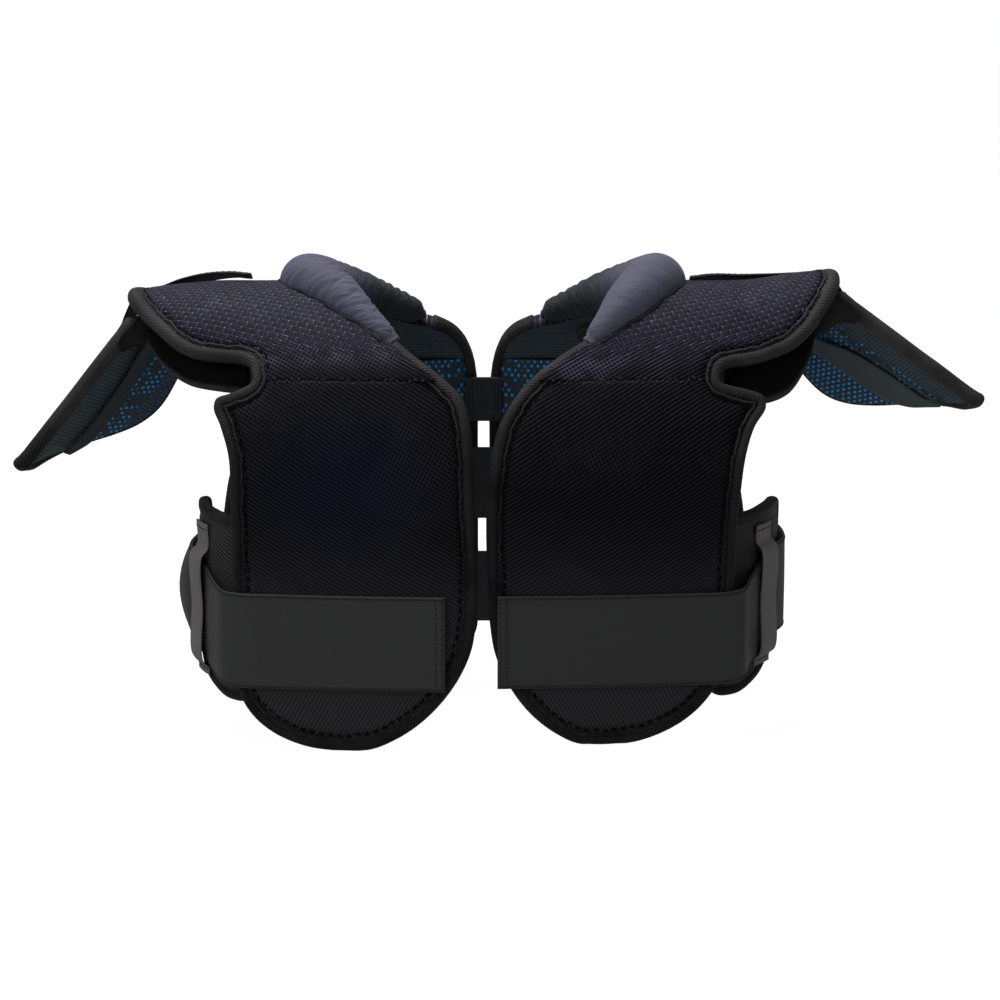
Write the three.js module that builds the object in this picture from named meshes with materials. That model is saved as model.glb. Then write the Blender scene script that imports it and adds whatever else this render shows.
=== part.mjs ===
// Football shoulder pads: two padded halves, each a chest pad, a shoulder pad with a stubby wing
// and a back pad, hung over one shoulder like a saddle. Bound edges, a stuffed neck roll, a cap
// under the wing, an upper arm flap, a side pad and a wide elastic belt belong to each half, and
// three short straps join the two back pads. The set stands on the four rounded hems.
// Millimetres, +Z up, the wearer faces -Y, so the wearer's right half lies at -X.
import * as THREE from "three";

// Driving dimensions of one half, over the whole set
const CHEST_HALF = 200; // centre line to the arm edge of a chest pad
const HALF_DEPTH = 118; // body depth at the centre line, from the ridge to a pad's middle
const SIDE_DEPTH_LOSS = 18; // how much shallower the body is at CHEST_HALF
const SPRING_HEIGHT = 210; // hem to where the shoulder arch begins
const ARCH_RISE = 146; // from there to the ridge of the shoulder
const BACK_SPLAY = 12; // how far a back hem stands out behind the arch's foot
const WING_REACH = 290; // centre line to the wing's outermost point
const TIP_FROM = 205; // where a wing's tip starts to lift or sink

// Thicknesses and clearances
const CLEAR = 0.5; // gap between pieces that are sewn or laid together
const SEAM = 0.4; // gap across a sewn seam between two pads
const PAD_THICK = 17;
const PAD_EDGE = 11; // pads thin out to this under their binding
const SHOULDER_THICK = 15;
const SHOULDER_EDGE = 11;
const BINDING_WIDE = 12;
const BINDING_THICK = 13;
const CAP_THICK = 11;
const CAP_EDGE = 7;
const CAP_GAP = 1.5; // between the wing and the cap along the ridge
const CAP_DROOP = 9; // the cap hangs this much further from the wing at its front and back
const FLAP_THICK = 12;
const FLAP_EDGE = 9;
const SIDE_THICK = 11;
const SIDE_EDGE = 9;
const SIDE_BINDING = 9;
const LINING_THICK = 1.5;
const LINING_GAP = 0.8; // between a pad and the lining laid on it
const WEB_THICK = 2; // woven webbing
const WEB_GAP = 0.9; // under webbing laid on a curved face
const BELT_THICK = 2.6;

// Widths of webbing and elastic
const BELT_WIDE = 76;
const KEEPER_WIDE = 24;
const SHOULDER_STRAP_WIDE = 36;
const STRAP_GRIP = 11; // how far a centre strap laps over each back pad
const BACK_GAP = 5; // centre line to the back pads' inner edges

// Upper arm flap
const FLAP_CUP = 10; // how far the flap's middle bulges outwards
const FLAP_TIP = 0.18; // width of its blunt tip, as a share of its width
const FLAP_CORNER = 0.12; // how far its pad stops short of the hinge corner, as a share of a station

// Side pad
const SIDE_HIGH = 153;
const SIDE_LOW = 31; // height of its lower edge above the hem

// Round shapes
const ROLL_RADIUS = 24;
const ROLL_SIDES = 10;
const ROLL_LIFT = 0.2; // how far a roll's centre is raised above the shoulder's middle, in radii
const ROLL_TIP = { beyond: 0.28, round: 0.55 }; // a tip's place past the last station, and its size
const LOBE_SWEEP = 0.86 * (Math.PI / 2); // the rounding stops here, which leaves the hem's flat foot
const MITRE_LIMIT = 2; // longest corner of a binding, in binding widths

// What differs between the halves as they stand
const RIGHT = {
  name: "right",
  sign: -1,
  notchOut: 0.915, // depth of the notch between the wing and the pads, as a share of CHEST_HALF
  chestSplay: 12, // the chest hem stands this far in front of the arch's foot
  tipLift: -5,
  flapHinge: { across: 289, depth: -8, height: 331 },
  flapDroop: 51.3, // degrees below level
  flapTurn: 35, // degrees that the flap's rear edge is turned down
  flapLong: 156,
  flapWide: 110,
  beltFrom: 0.145, // the belt's front end, as a share of CHEST_HALF
  beltBackLow: 66, // height of the belt's lower edge at the back
};
const LEFT = {
  name: "left",
  sign: 1,
  notchOut: 0.945,
  chestSplay: -10,
  tipLift: 10,
  flapHinge: { across: 293, depth: -8, height: 352 },
  flapDroop: 36.3,
  flapTurn: 40,
  flapLong: 148,
  flapWide: 122,
  beltFrom: 0.06,
  beltBackLow: 74,
};

// Outlines. "down" is a share of the way from the ridge to the hem, "out" a share of CHEST_HALF.
const SEAM_DOWN = 0.314; // the seams between the shoulder pad and the chest and back pads
const CHEST = {
  right: {
    neckOutAtSeam: 0.13,
    rows: [
      { neckDown: 0.322, neckOut: 0.112, armDown: 0.322, armOut: 0.935 },
      { neckDown: 0.332, neckOut: 0.092, armDown: 0.336, armOut: 1.0 },
      { neckDown: 0.344, neckOut: 0.075, armDown: 0.346, armOut: 1.054 },
      { neckDown: 0.362, neckOut: 0.058, armDown: 0.364, armOut: 1.066 },
      { neckDown: 0.395, neckOut: 0.044, armDown: 0.397, armOut: 1.038 },
      { neckDown: 0.449, neckOut: 0.034, armDown: 0.449, armOut: 1.005 },
      { neckDown: 0.541, neckOut: 0.03, armDown: 0.541, armOut: 1.0 },
      { neckDown: 0.64, neckOut: 0.018, armDown: 0.64, armOut: 0.995 },
    ],
    lobe: { neckFrom: 0.755, neckOut: 0.025, armFrom: 0.85, armOut: 0.985, lowOut: 0.535 },
  },
  left: {
    neckOutAtSeam: 0.175,
    rows: [
      { neckDown: 0.322, neckOut: 0.16, armDown: 0.32, armOut: 0.975 },
      { neckDown: 0.332, neckOut: 0.142, armDown: 0.331, armOut: 1.06 },
      { neckDown: 0.344, neckOut: 0.122, armDown: 0.343, armOut: 1.115 },
      { neckDown: 0.362, neckOut: 0.098, armDown: 0.364, armOut: 1.128 },
      { neckDown: 0.395, neckOut: 0.062, armDown: 0.4, armOut: 1.08 },
      { neckDown: 0.449, neckOut: 0.036, armDown: 0.452, armOut: 1.043 },
      { neckDown: 0.541, neckOut: 0.017, armDown: 0.541, armOut: 1.021 },
      { neckDown: 0.64, neckOut: 0.018, armDown: 0.64, armOut: 1.01 },
    ],
    lobe: { neckFrom: 0.76, neckOut: 0.03, armFrom: 0.777, armOut: 1.0, lowOut: 0.45 },
  },
  neckPower: 1.75, // roundness of the hem towards the centre line, 2 being an ellipse
  armPower: 2.2,
};
const BACK = {
  neckOutAtSeam: 0.046,
  rows: [
    { neckDown: 0.322, neckOut: 0.043, armDown: 0.322, armOut: 0.96 },
    { neckDown: 0.332, neckOut: 0.038, armDown: 0.334, armOut: 1.02 },
    { neckDown: 0.344, neckOut: 0.035, armDown: 0.346, armOut: 1.065 },
    { neckDown: 0.362, neckOut: 0.03, armDown: 0.366, armOut: 1.078 },
    { neckDown: 0.4, neckOut: 0.026, armDown: 0.4, armOut: 1.066 },
    { neckDown: 0.48, neckOut: 0.025, armDown: 0.48, armOut: 1.06 },
    { neckDown: 0.58, neckOut: 0.025, armDown: 0.58, armOut: 1.11 },
    { neckDown: 0.7, neckOut: 0.025, armDown: 0.7, armOut: 1.14 },
  ],
  lobe: { neckFrom: 0.87, neckOut: 0.025, armFrom: 0.83, armOut: 1.13, lowOut: 0.6 },
  neckPower: 2.3,
  armPower: 2.3,
};
const LOBE_STEPS = 6;
const PAD_COLUMNS = 6; // spans across a chest, back or flap pad
const SHOULDER_COLUMNS = 7;
const CAP_COLUMNS = 12;
const SIDE_COLUMNS = 4;

// The bound neck edge between a neck roll's tip and the seam, at the throat and at the nape
const THROAT = {
  right: [
    { down: -0.228, out: 0.335 },
    { down: -0.262, out: 0.26 },
    { down: -0.29, out: 0.187 },
  ],
  left: [
    { down: -0.226, out: 0.402 },
    { down: -0.262, out: 0.3 },
    { down: -0.29, out: 0.228 },
  ],
};
const NAPE = [
  { down: 0.214, out: 0.197 },
  { down: 0.238, out: 0.128 },
  { down: 0.27, out: 0.08 },
];

// A neck roll's centre line from its front tip to the ridge, and on to its back tip
const ROLL_FRONT = {
  right: [
    { down: -0.222, out: 0.362, thick: 0.3 },
    { down: -0.2, out: 0.402, thick: 0.38 },
    { down: -0.176, out: 0.447, thick: 0.47 },
    { down: -0.147, out: 0.498, thick: 0.58 },
    { down: -0.107, out: 0.56, thick: 0.74 },
    { down: -0.055, out: 0.638, thick: 0.93 },
  ],
  left: [
    { down: -0.226, out: 0.434, thick: 0.3 },
    { down: -0.206, out: 0.468, thick: 0.44 },
    { down: -0.179, out: 0.513, thick: 0.59 },
    { down: -0.147, out: 0.56, thick: 0.76 },
    { down: -0.108, out: 0.612, thick: 0.9 },
    { down: -0.056, out: 0.668, thick: 1.0 },
  ],
};
const ROLL_BACK = [
  { down: 0, out: 0.712, thick: 1.04 },
  { down: 0.06, out: 0.65, thick: 0.95 },
  { down: 0.112, out: 0.53, thick: 0.78 },
  { down: 0.158, out: 0.405, thick: 0.6 },
  { down: 0.196, out: 0.285, thick: 0.42 },
];

// The wing's edge from the front notch round its tip to the back notch, "reach" a share of WING_REACH
const WING_ROWS = {
  right: [
    { down: -0.3, reach: 0.632 },
    { down: -0.284, reach: 0.638 },
    { down: -0.276, reach: 0.662 },
    { down: -0.273, reach: 0.72 },
    { down: -0.266, reach: 0.785 },
    { down: -0.247, reach: 0.84 },
    { down: -0.207, reach: 0.893 },
    { down: -0.15, reach: 0.95 },
    { down: -0.09, reach: 0.987 },
    { down: -0.035, reach: 1.002 },
    { down: 0.02, reach: 0.998 },
    { down: 0.08, reach: 0.97 },
    { down: 0.14, reach: 0.925 },
    { down: 0.205, reach: 0.86 },
    { down: 0.252, reach: 0.785 },
    { down: 0.276, reach: 0.7 },
    { down: 0.3, reach: 0.633 },
  ],
  left: [
    { down: -0.302, reach: 0.653 },
    { down: -0.291, reach: 0.659 },
    { down: -0.284, reach: 0.684 },
    { down: -0.28, reach: 0.735 },
    { down: -0.273, reach: 0.79 },
    { down: -0.258, reach: 0.856 },
    { down: -0.224, reach: 0.914 },
    { down: -0.165, reach: 0.963 },
    { down: -0.1, reach: 0.995 },
    { down: -0.04, reach: 1.006 },
    { down: 0.02, reach: 1.0 },
    { down: 0.08, reach: 0.97 },
    { down: 0.14, reach: 0.925 },
    { down: 0.205, reach: 0.86 },
    { down: 0.252, reach: 0.785 },
    { down: 0.276, reach: 0.71 },
    { down: 0.3, reach: 0.654 },
  ],
};
// The cap under the wing: its front and back edges at stations out along the wing
const CAP_ROWS = {
  right: [
    { reach: 0.655, front: -0.322, back: 0.315 },
    { reach: 0.74, front: -0.318, back: 0.308 },
    { reach: 0.825, front: -0.305, back: 0.288 },
    { reach: 0.87, front: -0.283, back: 0.262 },
    { reach: 0.908, front: -0.25, back: 0.225 },
    { reach: 0.935, front: -0.205, back: 0.17 },
    { reach: 0.952, front: -0.14, back: 0.09 },
  ],
  left: [
    { reach: 0.68, front: -0.338, back: 0.315 },
    { reach: 0.75, front: -0.348, back: 0.308 },
    { reach: 0.815, front: -0.348, back: 0.288 },
    { reach: 0.862, front: -0.335, back: 0.262 },
    { reach: 0.895, front: -0.305, back: 0.225 },
    { reach: 0.922, front: -0.255, back: 0.17 },
    { reach: 0.935, front: -0.17, back: 0.09 },
  ],
};

// The upper arm flap's rear edge, and the place on its front edge that each station faces
const FLAP_ROWS = [
  { along: 0.05, rear: 0.45, front: 0.15 },
  { along: 0.1, rear: 0.88, front: 0.26 },
  { along: 0.26, rear: 0.965, front: 0.37 },
  { along: 0.4, rear: 0.97, front: 0.48 },
  { along: 0.52, rear: 0.91, front: 0.58 },
  { along: 0.63, rear: 0.79, front: 0.67 },
  { along: 0.73, rear: 0.64, front: 0.75 },
  { along: 0.83, rear: 0.47, front: 0.81 },
  { along: 0.925, rear: 0.31, front: 0.86 },
];
// Where the elastic across the flap's lining starts and ends, as shares of the flap
const FLAP_STRAP = {
  right: { from: [0.22, 0.53], to: [0.74, 0.53], wide: 15 },
  left: { from: [0.22, 0.65], to: [0.74, 0.56], wide: 25 },
};
const FLAP_STRAP_TAPER = 0.8; // width of that elastic's far end, as a share of its near end's
// The hook and loop strap: over the shoulder, "run" behind the ridge, then down the flap
const SHOULDER_STRAP_OVER = [
  { reach: 0.66, run: 18, lift: 4 },
  { reach: 0.72, run: 20, lift: 4.5 },
  { reach: 0.79, run: 24, lift: 4 },
  { reach: 0.86, run: 33, lift: 2.5 },
  { reach: 0.92, run: 44, lift: 0.1 },
  { reach: 0.95, run: 50, lift: 0.5 },
  { reach: 0.99, run: 53, lift: -3 },
];
const SHOULDER_STRAP_DOWN = [
  { along: 0.28, lift: 3 },
  { along: 0.38, lift: 1.5 },
  { along: 0.52, lift: 0.3 },
];
const SHOULDER_STRAP_ON_FLAP = 0.5; // share of the flap's width

// The side pad's plan, from under the chest pad's arm edge round the ribs
const SIDE_PLAN = {
  right: [
    { out: 0.905, depth: 0.725 },
    { out: 0.99, depth: 0.655 },
    { out: 1.065, depth: 0.525 },
    { out: 1.13, depth: 0.3 },
    { out: 1.155, depth: 0.04 },
    { out: 1.16, depth: -0.17 },
  ],
  left: [
    { out: 0.905, depth: 0.725 },
    { out: 0.99, depth: 0.655 },
    { out: 1.08, depth: 0.51 },
    { out: 1.155, depth: 0.26 },
    { out: 1.2, depth: 0.02 },
    { out: 1.215, depth: -0.17 },
  ],
};
// Its lower edge rises and its upper edge falls at the front and back ends
const SIDE_ROWS = [
  { along: 0.05, low: 0.02, high: 0.97 },
  { along: 0.2, low: 0.0, high: 0.985 },
  { along: 0.36, low: 0.04, high: 0.99 },
  { along: 0.52, low: 0.1, high: 0.995 },
  { along: 0.68, low: 0.21, high: 1.0 },
  { along: 0.83, low: 0.33, high: 1.0 },
  { along: 0.93, low: 0.43, high: 0.975 },
  { along: 0.985, low: 0.52, high: 0.9 },
];

// The belt. "turn" is a share of its change of height from front to back, "bow" how far its
// middle stands out past its edges.
const BELT_FRONT_LOW = 49; // height of its lower edge over the chest pad
const BELT_FOLD = 7; // its front end is folded over and sewn
const BELT_ON_CHEST = [0.35, 0.6, 0.82, 0.95]; // shares of CHEST_HALF
const BELT_ON_SIDE = [
  { along: 0.24, lift: 7, turn: 0.3 },
  { along: 0.38, lift: 0.6, turn: 0.6 },
  { along: 0.5, lift: 0, turn: 0.8 },
  { along: 0.62, lift: 0.6, turn: 0.95 },
];
const BELT_BEHIND = {
  right: [
    { out: 1.205, depth: 0.1, bow: 6 },
    { out: 1.22, depth: -0.15, bow: 11 },
    { out: 1.215, depth: -0.45, bow: 7 },
    { out: 1.19, depth: -0.75, bow: 2 },
    { out: 1.13, depth: -0.97, bow: 0 },
  ],
  left: [
    { out: 1.245, depth: 0.06, bow: 0 },
    { out: 1.258, depth: -0.15, bow: 1 },
    { out: 1.255, depth: -0.45, bow: 1 },
    { out: 1.225, depth: -0.75, bow: 0 },
    { out: 1.15, depth: -0.97, bow: 0 },
  ],
};
const BELT_ON_BACK = [1.02, 0.86, 0.68, 0.5]; // shares of CHEST_HALF
const KEEPER_AT = 0.5; // share of the side pad's length
const KEEPER_SLACK = 2; // extra room for the belt under the keeper
const KEEPER_STEP = 11; // from the belt's edge to where the keeper lies flat again

// The centre straps, by the height of their lower and upper edges
const CENTRE_STRAPS = [
  { name: "upper", low: 232, high: 273 },
  { name: "middle", low: 145, high: 208 },
  { name: "lower", low: 52, high: 115 },
];

// The small round-ended tab sewn inside the left shoulder pad, behind the ridge
const TAB = { down: 0.235, out: 0.4, long: 38, wide: 22, thick: 4 };

// Colours
const COLOURS = {
  mesh: [0x15151d, 0.75],
  binding: [0x1a1a1b, 0.8],
  roll: [0x4a4a5c, 0.5],
  elastic: [0x2c2d2f, 0.7],
  lining: [0x17252c, 0.8],
  cap: [0x0b0b0c, 0.85],
};

const SECTION_ARCH = (Math.PI / 2) * Math.hypot(HALF_DEPTH, ARCH_RISE) * Math.SQRT1_2; // arch's run
const SECTION = SECTION_ARCH + SPRING_HEIGHT;
const STEP = 0.5; // for finite differences along a surface
const EDGE_RISE = 2.8; // a pad reaches its full thickness at 1 / EDGE_RISE of its width

const vec = (x, y, z) => new THREE.Vector3(x, y, z);
const mix = (a, b, t) => a + (b - a) * t;
const smooth = (t) => {
  const c = Math.min(1, Math.max(0, t));
  return c * c * (3 - 2 * c);
};

// The middle surface of one half: u is the distance from the centre line, v the run from the
// ridge, negative down the chest and positive down the back.
function bodySurface(side) {
  const surface = (u, v) => {
    const depth = HALF_DEPTH - SIDE_DEPTH_LOSS * (u / CHEST_HALF) ** 2;
    const face = Math.sign(v) || 1;
    const run = Math.abs(v);
    if (run <= SECTION_ARCH) {
      const angle = ((run / SECTION_ARCH) * Math.PI) / 2;
      const lift = side.tipLift * smooth((u - TIP_FROM) / (WING_REACH - TIP_FROM));
      return vec(
        side.sign * u,
        face * depth * Math.sin(angle),
        SPRING_HEIGHT + (ARCH_RISE + lift) * Math.cos(angle),
      );
    }
    const leg = run - SECTION_ARCH;
    const splay = face < 0 ? side.chestSplay : BACK_SPLAY;
    return vec(side.sign * u, face * (depth + (leg / SPRING_HEIGHT) * splay), SPRING_HEIGHT - leg);
  };
  surface.orient = side.sign;
  return surface;
}

// The run down a leg of the section at which a pad's middle is at this height above the hem
const runAt = (height) =>
  height < SPRING_HEIGHT
    ? SECTION - height
    : (SECTION_ARCH * Math.acos((height - SPRING_HEIGHT) / ARCH_RISE)) / (Math.PI / 2);

// Point, outward normal and the two tangents of a surface
function frameAt(surface, u, v) {
  const point = surface(u, v);
  const alongU = surface(u + STEP, v).sub(surface(u - STEP, v)).divideScalar(2 * STEP);
  const alongV = surface(u, v + STEP).sub(surface(u, v - STEP)).divideScalar(2 * STEP);
  const normal = vec(0, 0, 0).crossVectors(alongU, alongV).normalize();
  normal.multiplyScalar(surface.orient);
  return { point, normal, alongU, alongV };
}

const lifted = (surface, u, v, lift) => {
  const frame = frameAt(surface, u, v);
  return frame.point.addScaledVector(frame.normal, lift);
};

// A closed solid through rings of equally many points. Open lofts are capped across the ring.
function loft(rings, closed = false) {
  const count = rings[0].length;
  const index = [];
  const spans = closed ? rings.length : rings.length - 1;
  for (let i = 0; i < spans; i++) {
    const here = i * count;
    const next = ((i + 1) % rings.length) * count;
    for (let j = 0; j < count; j++) {
      const k = (j + 1) % count;
      index.push(here + j, here + k, next + k, here + j, next + k, next + j);
    }
  }
  const cap = (start, flip) => {
    for (let j = 0; j < count / 2 - 1; j++) {
      const [a, b] = [start + j, start + j + 1];
      const [c, d] = [start + count - 2 - j, start + count - 1 - j];
      const faces = flip ? [a, c, b, a, d, c] : [a, b, c, a, c, d];
      faces.forEach((corner) => index.push(corner));
    }
  };
  if (!closed) {
    cap(0, true);
    cap((rings.length - 1) * count, false);
  }
  const points = rings.flat();
  const geometry = new THREE.BufferGeometry().setFromPoints(points);
  let volume = 0;
  for (let i = 0; i < index.length; i += 3) {
    const [a, b, c] = [0, 1, 2].map((k) => points[index[i + k]]);
    volume += a.dot(vec(0, 0, 0).crossVectors(b, c));
  }
  if (volume < 0) index.reverse();
  geometry.setIndex(index);
  return geometry;
}

// Unit directions that point out of an edge, lengthened at corners so that a strip keeps its width
function edgeDirections(surface, stations, inside, probe, closed = false) {
  const frames = stations.map(([u, v]) => frameAt(surface, u, v));
  const count = stations.length;
  const across = frames.map((frame, i) => {
    const before = closed ? frames[(i - 1 + count) % count] : frames[Math.max(0, i - 1)];
    const after = closed ? frames[(i + 1) % count] : frames[Math.min(count - 1, i + 1)];
    const sides = [];
    for (const [from, to] of [[before, frame], [frame, after]]) {
      const along = to.point.clone().sub(from.point);
      if (along.length() > 1e-6) sides.push(along.normalize().cross(frame.normal).normalize());
    }
    const out = sides.reduce((sum, side) => sum.add(side), vec(0, 0, 0)).normalize();
    return out.multiplyScalar(Math.min(MITRE_LIMIT, 1 / Math.max(0.1, out.dot(sides[0]))));
  });
  const middle = surface(...inside);
  const outward = frames[probe].point.clone().sub(middle).dot(across[probe]) > 0 ? 1 : -1;
  return frames.map((frame, i) => {
    const out = across[i].multiplyScalar(outward);
    const [a, b, c] = [
      frame.alongU.dot(frame.alongU),
      frame.alongU.dot(frame.alongV),
      frame.alongV.dot(frame.alongV),
    ];
    const [p, q] = [frame.alongU.dot(out), frame.alongV.dot(out)];
    const scale = 1 / (a * c - b * b);
    return { u: (c * p - b * q) * scale, v: (a * q - b * p) * scale };
  });
}

const moved = ([u, v], direction, distance) => [
  u + direction.u * distance,
  v + direction.v * distance,
];

// A sheet between two edges: row i runs from a[i] to b[i]. faces gives the heights of its two
// faces from how far a point is from the edges, 0 on them and 1 well inside.
function sheetBetween(surface, a, b, columns, faces, openEnds = [false, false]) {
  const last = a.length - 1;
  const rings = a.map(([ua, va], i) => {
    const [ub, vb] = b[i];
    const fromEnds = Math.min(
      openEnds[0] ? (EDGE_RISE * i) / last : 1,
      openEnds[1] ? EDGE_RISE * (1 - i / last) : 1,
    );
    const outer = [];
    const inner = [];
    for (let j = 0; j <= columns; j++) {
      const t = j / columns;
      const full = Math.min(1, EDGE_RISE * t, EDGE_RISE * (1 - t), fromEnds);
      const frame = frameAt(surface, mix(ua, ub, t), mix(va, vb, t));
      const [high, low] = faces(full);
      outer.push(frame.point.clone().addScaledVector(frame.normal, high));
      inner.push(frame.point.clone().addScaledVector(frame.normal, low));
    }
    return [...outer, ...inner.reverse()];
  });
  return loft(rings);
}

// Faces of a pad that is thinner along its edges, and of the lining laid on its inner face
const padFaces = (thick, edge) => (full) => {
  const half = mix(edge, thick, Math.sqrt(full)) / 2;
  return [half, -half];
};
const liningFaces = (thick, edge) => (full) => {
  const face = padFaces(thick, edge)(full)[1] - LINING_GAP;
  return [face, face - LINING_THICK];
};

// A rolled binding along stations of an edge: its outer side on them, the rest inwards.
const BINDING_SECTION = [
  { out: 0, up: 0.4 },
  { out: 0.52, up: 0.5 },
  { out: 1, up: 0.2 },
  { out: 1, up: -0.2 },
  { out: 0.52, up: -0.5 },
  { out: 0, up: -0.4 },
];
function bindingAlong(surface, stations, directions, wide, thick, closed = false) {
  const rings = stations.map((station, i) => {
    const outer = frameAt(surface, ...station);
    const inner = frameAt(surface, ...moved(station, directions[i], -wide));
    return BINDING_SECTION.map(({ out, up }) => {
      const normal = inner.normal.clone().lerp(outer.normal, out);
      return inner.point.clone().lerp(outer.point, out).addScaledVector(normal, up * thick);
    });
  });
  return loft(rings, closed);
}

// A strip of webbing through stations {across, normal}, across being points over its width
function strip(stations, thick) {
  return loft(
    stations.map(({ across, normal, thicker = 1 }) => {
      const half = (thick * thicker) / 2;
      const face = (way) => across.map((p) => p.clone().addScaledVector(normal, way * half));
      return [...face(1), ...face(-1).reverse()];
    }),
  );
}

// Stations of one half's edges, as [u, v] pairs
const fromShares = (down, out) => [out * CHEST_HALF, down * SECTION];

function bodyEdges(side, outline, powers, face) {
  const { lobe, rows } = outline;
  const neck = [fromShares(face * SEAM_DOWN, outline.neckOutAtSeam)];
  const arm = [fromShares(face * SEAM_DOWN, side.notchOut)];
  for (const r of rows) {
    neck.push(fromShares(face * r.neckDown, r.neckOut));
    arm.push(fromShares(face * r.armDown, r.armOut));
  }
  const lowest = Math.sin(LOBE_SWEEP);
  for (let step = 0; step <= LOBE_STEPS; step++) {
    const sink = Math.sin((step / LOBE_STEPS) * LOBE_SWEEP);
    const round = (out, from, power) => {
      const keep = (1 - sink ** power) ** (1 / power);
      return fromShares(face * mix(from, 1, sink / lowest), mix(lobe.lowOut, out, keep));
    };
    neck.push(round(lobe.neckOut, lobe.neckFrom, powers.neckPower));
    arm.push(round(lobe.armOut, lobe.armFrom, powers.armPower));
  }
  return { neck, arm };
}

// A chest or back pad with its binding, which starts at the neck roll's tip, runs down the neck
// side, round the hem and up the arm side to the notch under the wing
function bodyPad(side, surface, lead, outline, powers, face) {
  const { neck, arm } = bodyEdges(side, outline, powers, face);
  const path = [...lead, ...neck, ...[...arm].reverse()];
  const seamRun = SEAM_DOWN * SECTION;
  const pathEnd = path.length - 1;
  const foot = lead.length + neck.length;
  const directions = edgeDirections(surface, path, fromShares(face * 0.6, 0.5), foot);
  const inset = path.map((station, i) => moved(station, directions[i], -BINDING_WIDE - CLEAR));
  path[pathEnd] = [path[pathEnd][0], face * (seamRun + SEAM / 2)];
  const leadInset = inset.slice(0, lead.length);
  const neckInset = inset.slice(lead.length, foot);
  const armInset = inset.slice(foot).reverse();
  const [above, below] = [leadInset.at(-1), neckInset[0]];
  const share = (seamRun - Math.abs(above[1])) / Math.abs(below[1] - above[1]);
  const seamNeck = mix(above[0], below[0], share);
  const seamArm = side.notchOut * CHEST_HALF - BINDING_WIDE - CLEAR;
  const seamLine = face * (seamRun + SEAM / 2);
  const a = [[seamNeck, seamLine], ...neckInset];
  const b = [[seamArm, seamLine], ...armInset];
  const ends = [false, true];
  return {
    pad: sheetBetween(surface, a, b, PAD_COLUMNS, padFaces(PAD_THICK, PAD_EDGE), ends),
    lining: () => sheetBetween(surface, a, b, PAD_COLUMNS, liningFaces(PAD_THICK, PAD_EDGE), ends),
    binding: bindingAlong(surface, path, directions, BINDING_WIDE, BINDING_THICK),
    leadInset,
    seamNeck,
    seamArm,
  };
}

// Stations of a roll's centre line, with the direction away from the neck and the radius
function rollFrames(surface, rows) {
  const centre = rows.map((r) => fromShares(r.down, r.out));
  const probe = Math.floor(rows.length / 2);
  const directions = edgeDirections(surface, centre, fromShares(0, 1.2), probe);
  return centre.map((station, i) => ({
    station,
    direction: { u: -directions[i].u, v: -directions[i].v },
    radius: rows[i].thick * ROLL_RADIUS,
  }));
}

// The stuffed roll along the neck edge: round sections, closed by two smaller ones at its tips
function neckRoll(surface, frames) {
  const ring = (station, direction, radius) => {
    const frame = frameAt(surface, ...station);
    const out = surface(...moved(station, direction, 1)).sub(frame.point).normalize();
    const centre = frame.point.clone().addScaledVector(frame.normal, radius * ROLL_LIFT);
    return Array.from({ length: ROLL_SIDES }, (_, k) => {
      const angle = ((k + 0.5) / ROLL_SIDES) * 2 * Math.PI;
      return centre
        .clone()
        .addScaledVector(out, radius * Math.cos(angle))
        .addScaledVector(frame.normal, radius * Math.sin(angle));
    });
  };
  const rings = frames.map((f) => ring(f.station, f.direction, f.radius));
  const tip = (end, near) => {
    const beyond = end.station.map((x, k) => x + (x - near.station[k]) * ROLL_TIP.beyond);
    return ring(beyond, end.direction, end.radius * ROLL_TIP.round);
  };
  const last = frames.length - 1;
  return loft([tip(frames[0], frames[1]), ...rings, tip(frames[last], frames[last - 1])]);
}

function shoulderPad(side, surface, chest, back, roll) {
  const seamRun = SEAM_DOWN * SECTION - SEAM / 2;
  const notch = side.notchOut * CHEST_HALF;
  const edge = [
    [notch, -seamRun],
    ...WING_ROWS[side.name].map((r) => [r.reach * WING_REACH, r.down * SECTION]),
    [notch, seamRun],
  ];
  const tip = Math.floor(edge.length / 2);
  const directions = edgeDirections(surface, edge, fromShares(0, 0.8), tip);
  const wing = edge.map((station, i) => moved(station, directions[i], -BINDING_WIDE - 2 * CLEAR));
  wing[0] = [chest.seamArm, -seamRun];
  wing[edge.length - 1] = [back.seamArm, seamRun];
  const neck = [
    [chest.seamNeck, -seamRun],
    ...[...chest.leadInset].reverse(),
    ...roll.map((f) => moved(f.station, f.direction, f.radius + CLEAR)),
    ...back.leadInset,
    [back.seamNeck, seamRun],
  ];
  return {
    pad: sheetBetween(surface, neck, wing, SHOULDER_COLUMNS, padFaces(SHOULDER_THICK, SHOULDER_EDGE)),
    binding: bindingAlong(surface, edge, directions, BINDING_WIDE, BINDING_THICK),
  };
}

function underCap(side, surface) {
  const rows = CAP_ROWS[side.name];
  const farthest = Math.max(...rows.map((r) => -r.front)) * SECTION;
  const hung = (u, v) => {
    const droop = CAP_DROOP * (v / farthest) ** 2;
    return lifted(surface, u, v, -(SHOULDER_THICK / 2 + CAP_GAP + CAP_THICK / 2) - droop);
  };
  hung.orient = surface.orient;
  const front = rows.map((r) => [r.reach * WING_REACH, r.front * SECTION]);
  const back = rows.map((r) => [r.reach * WING_REACH, r.back * SECTION]);
  return sheetBetween(hung, front, back, CAP_COLUMNS, padFaces(CAP_THICK, CAP_EDGE), [false, true]);
}

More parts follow.
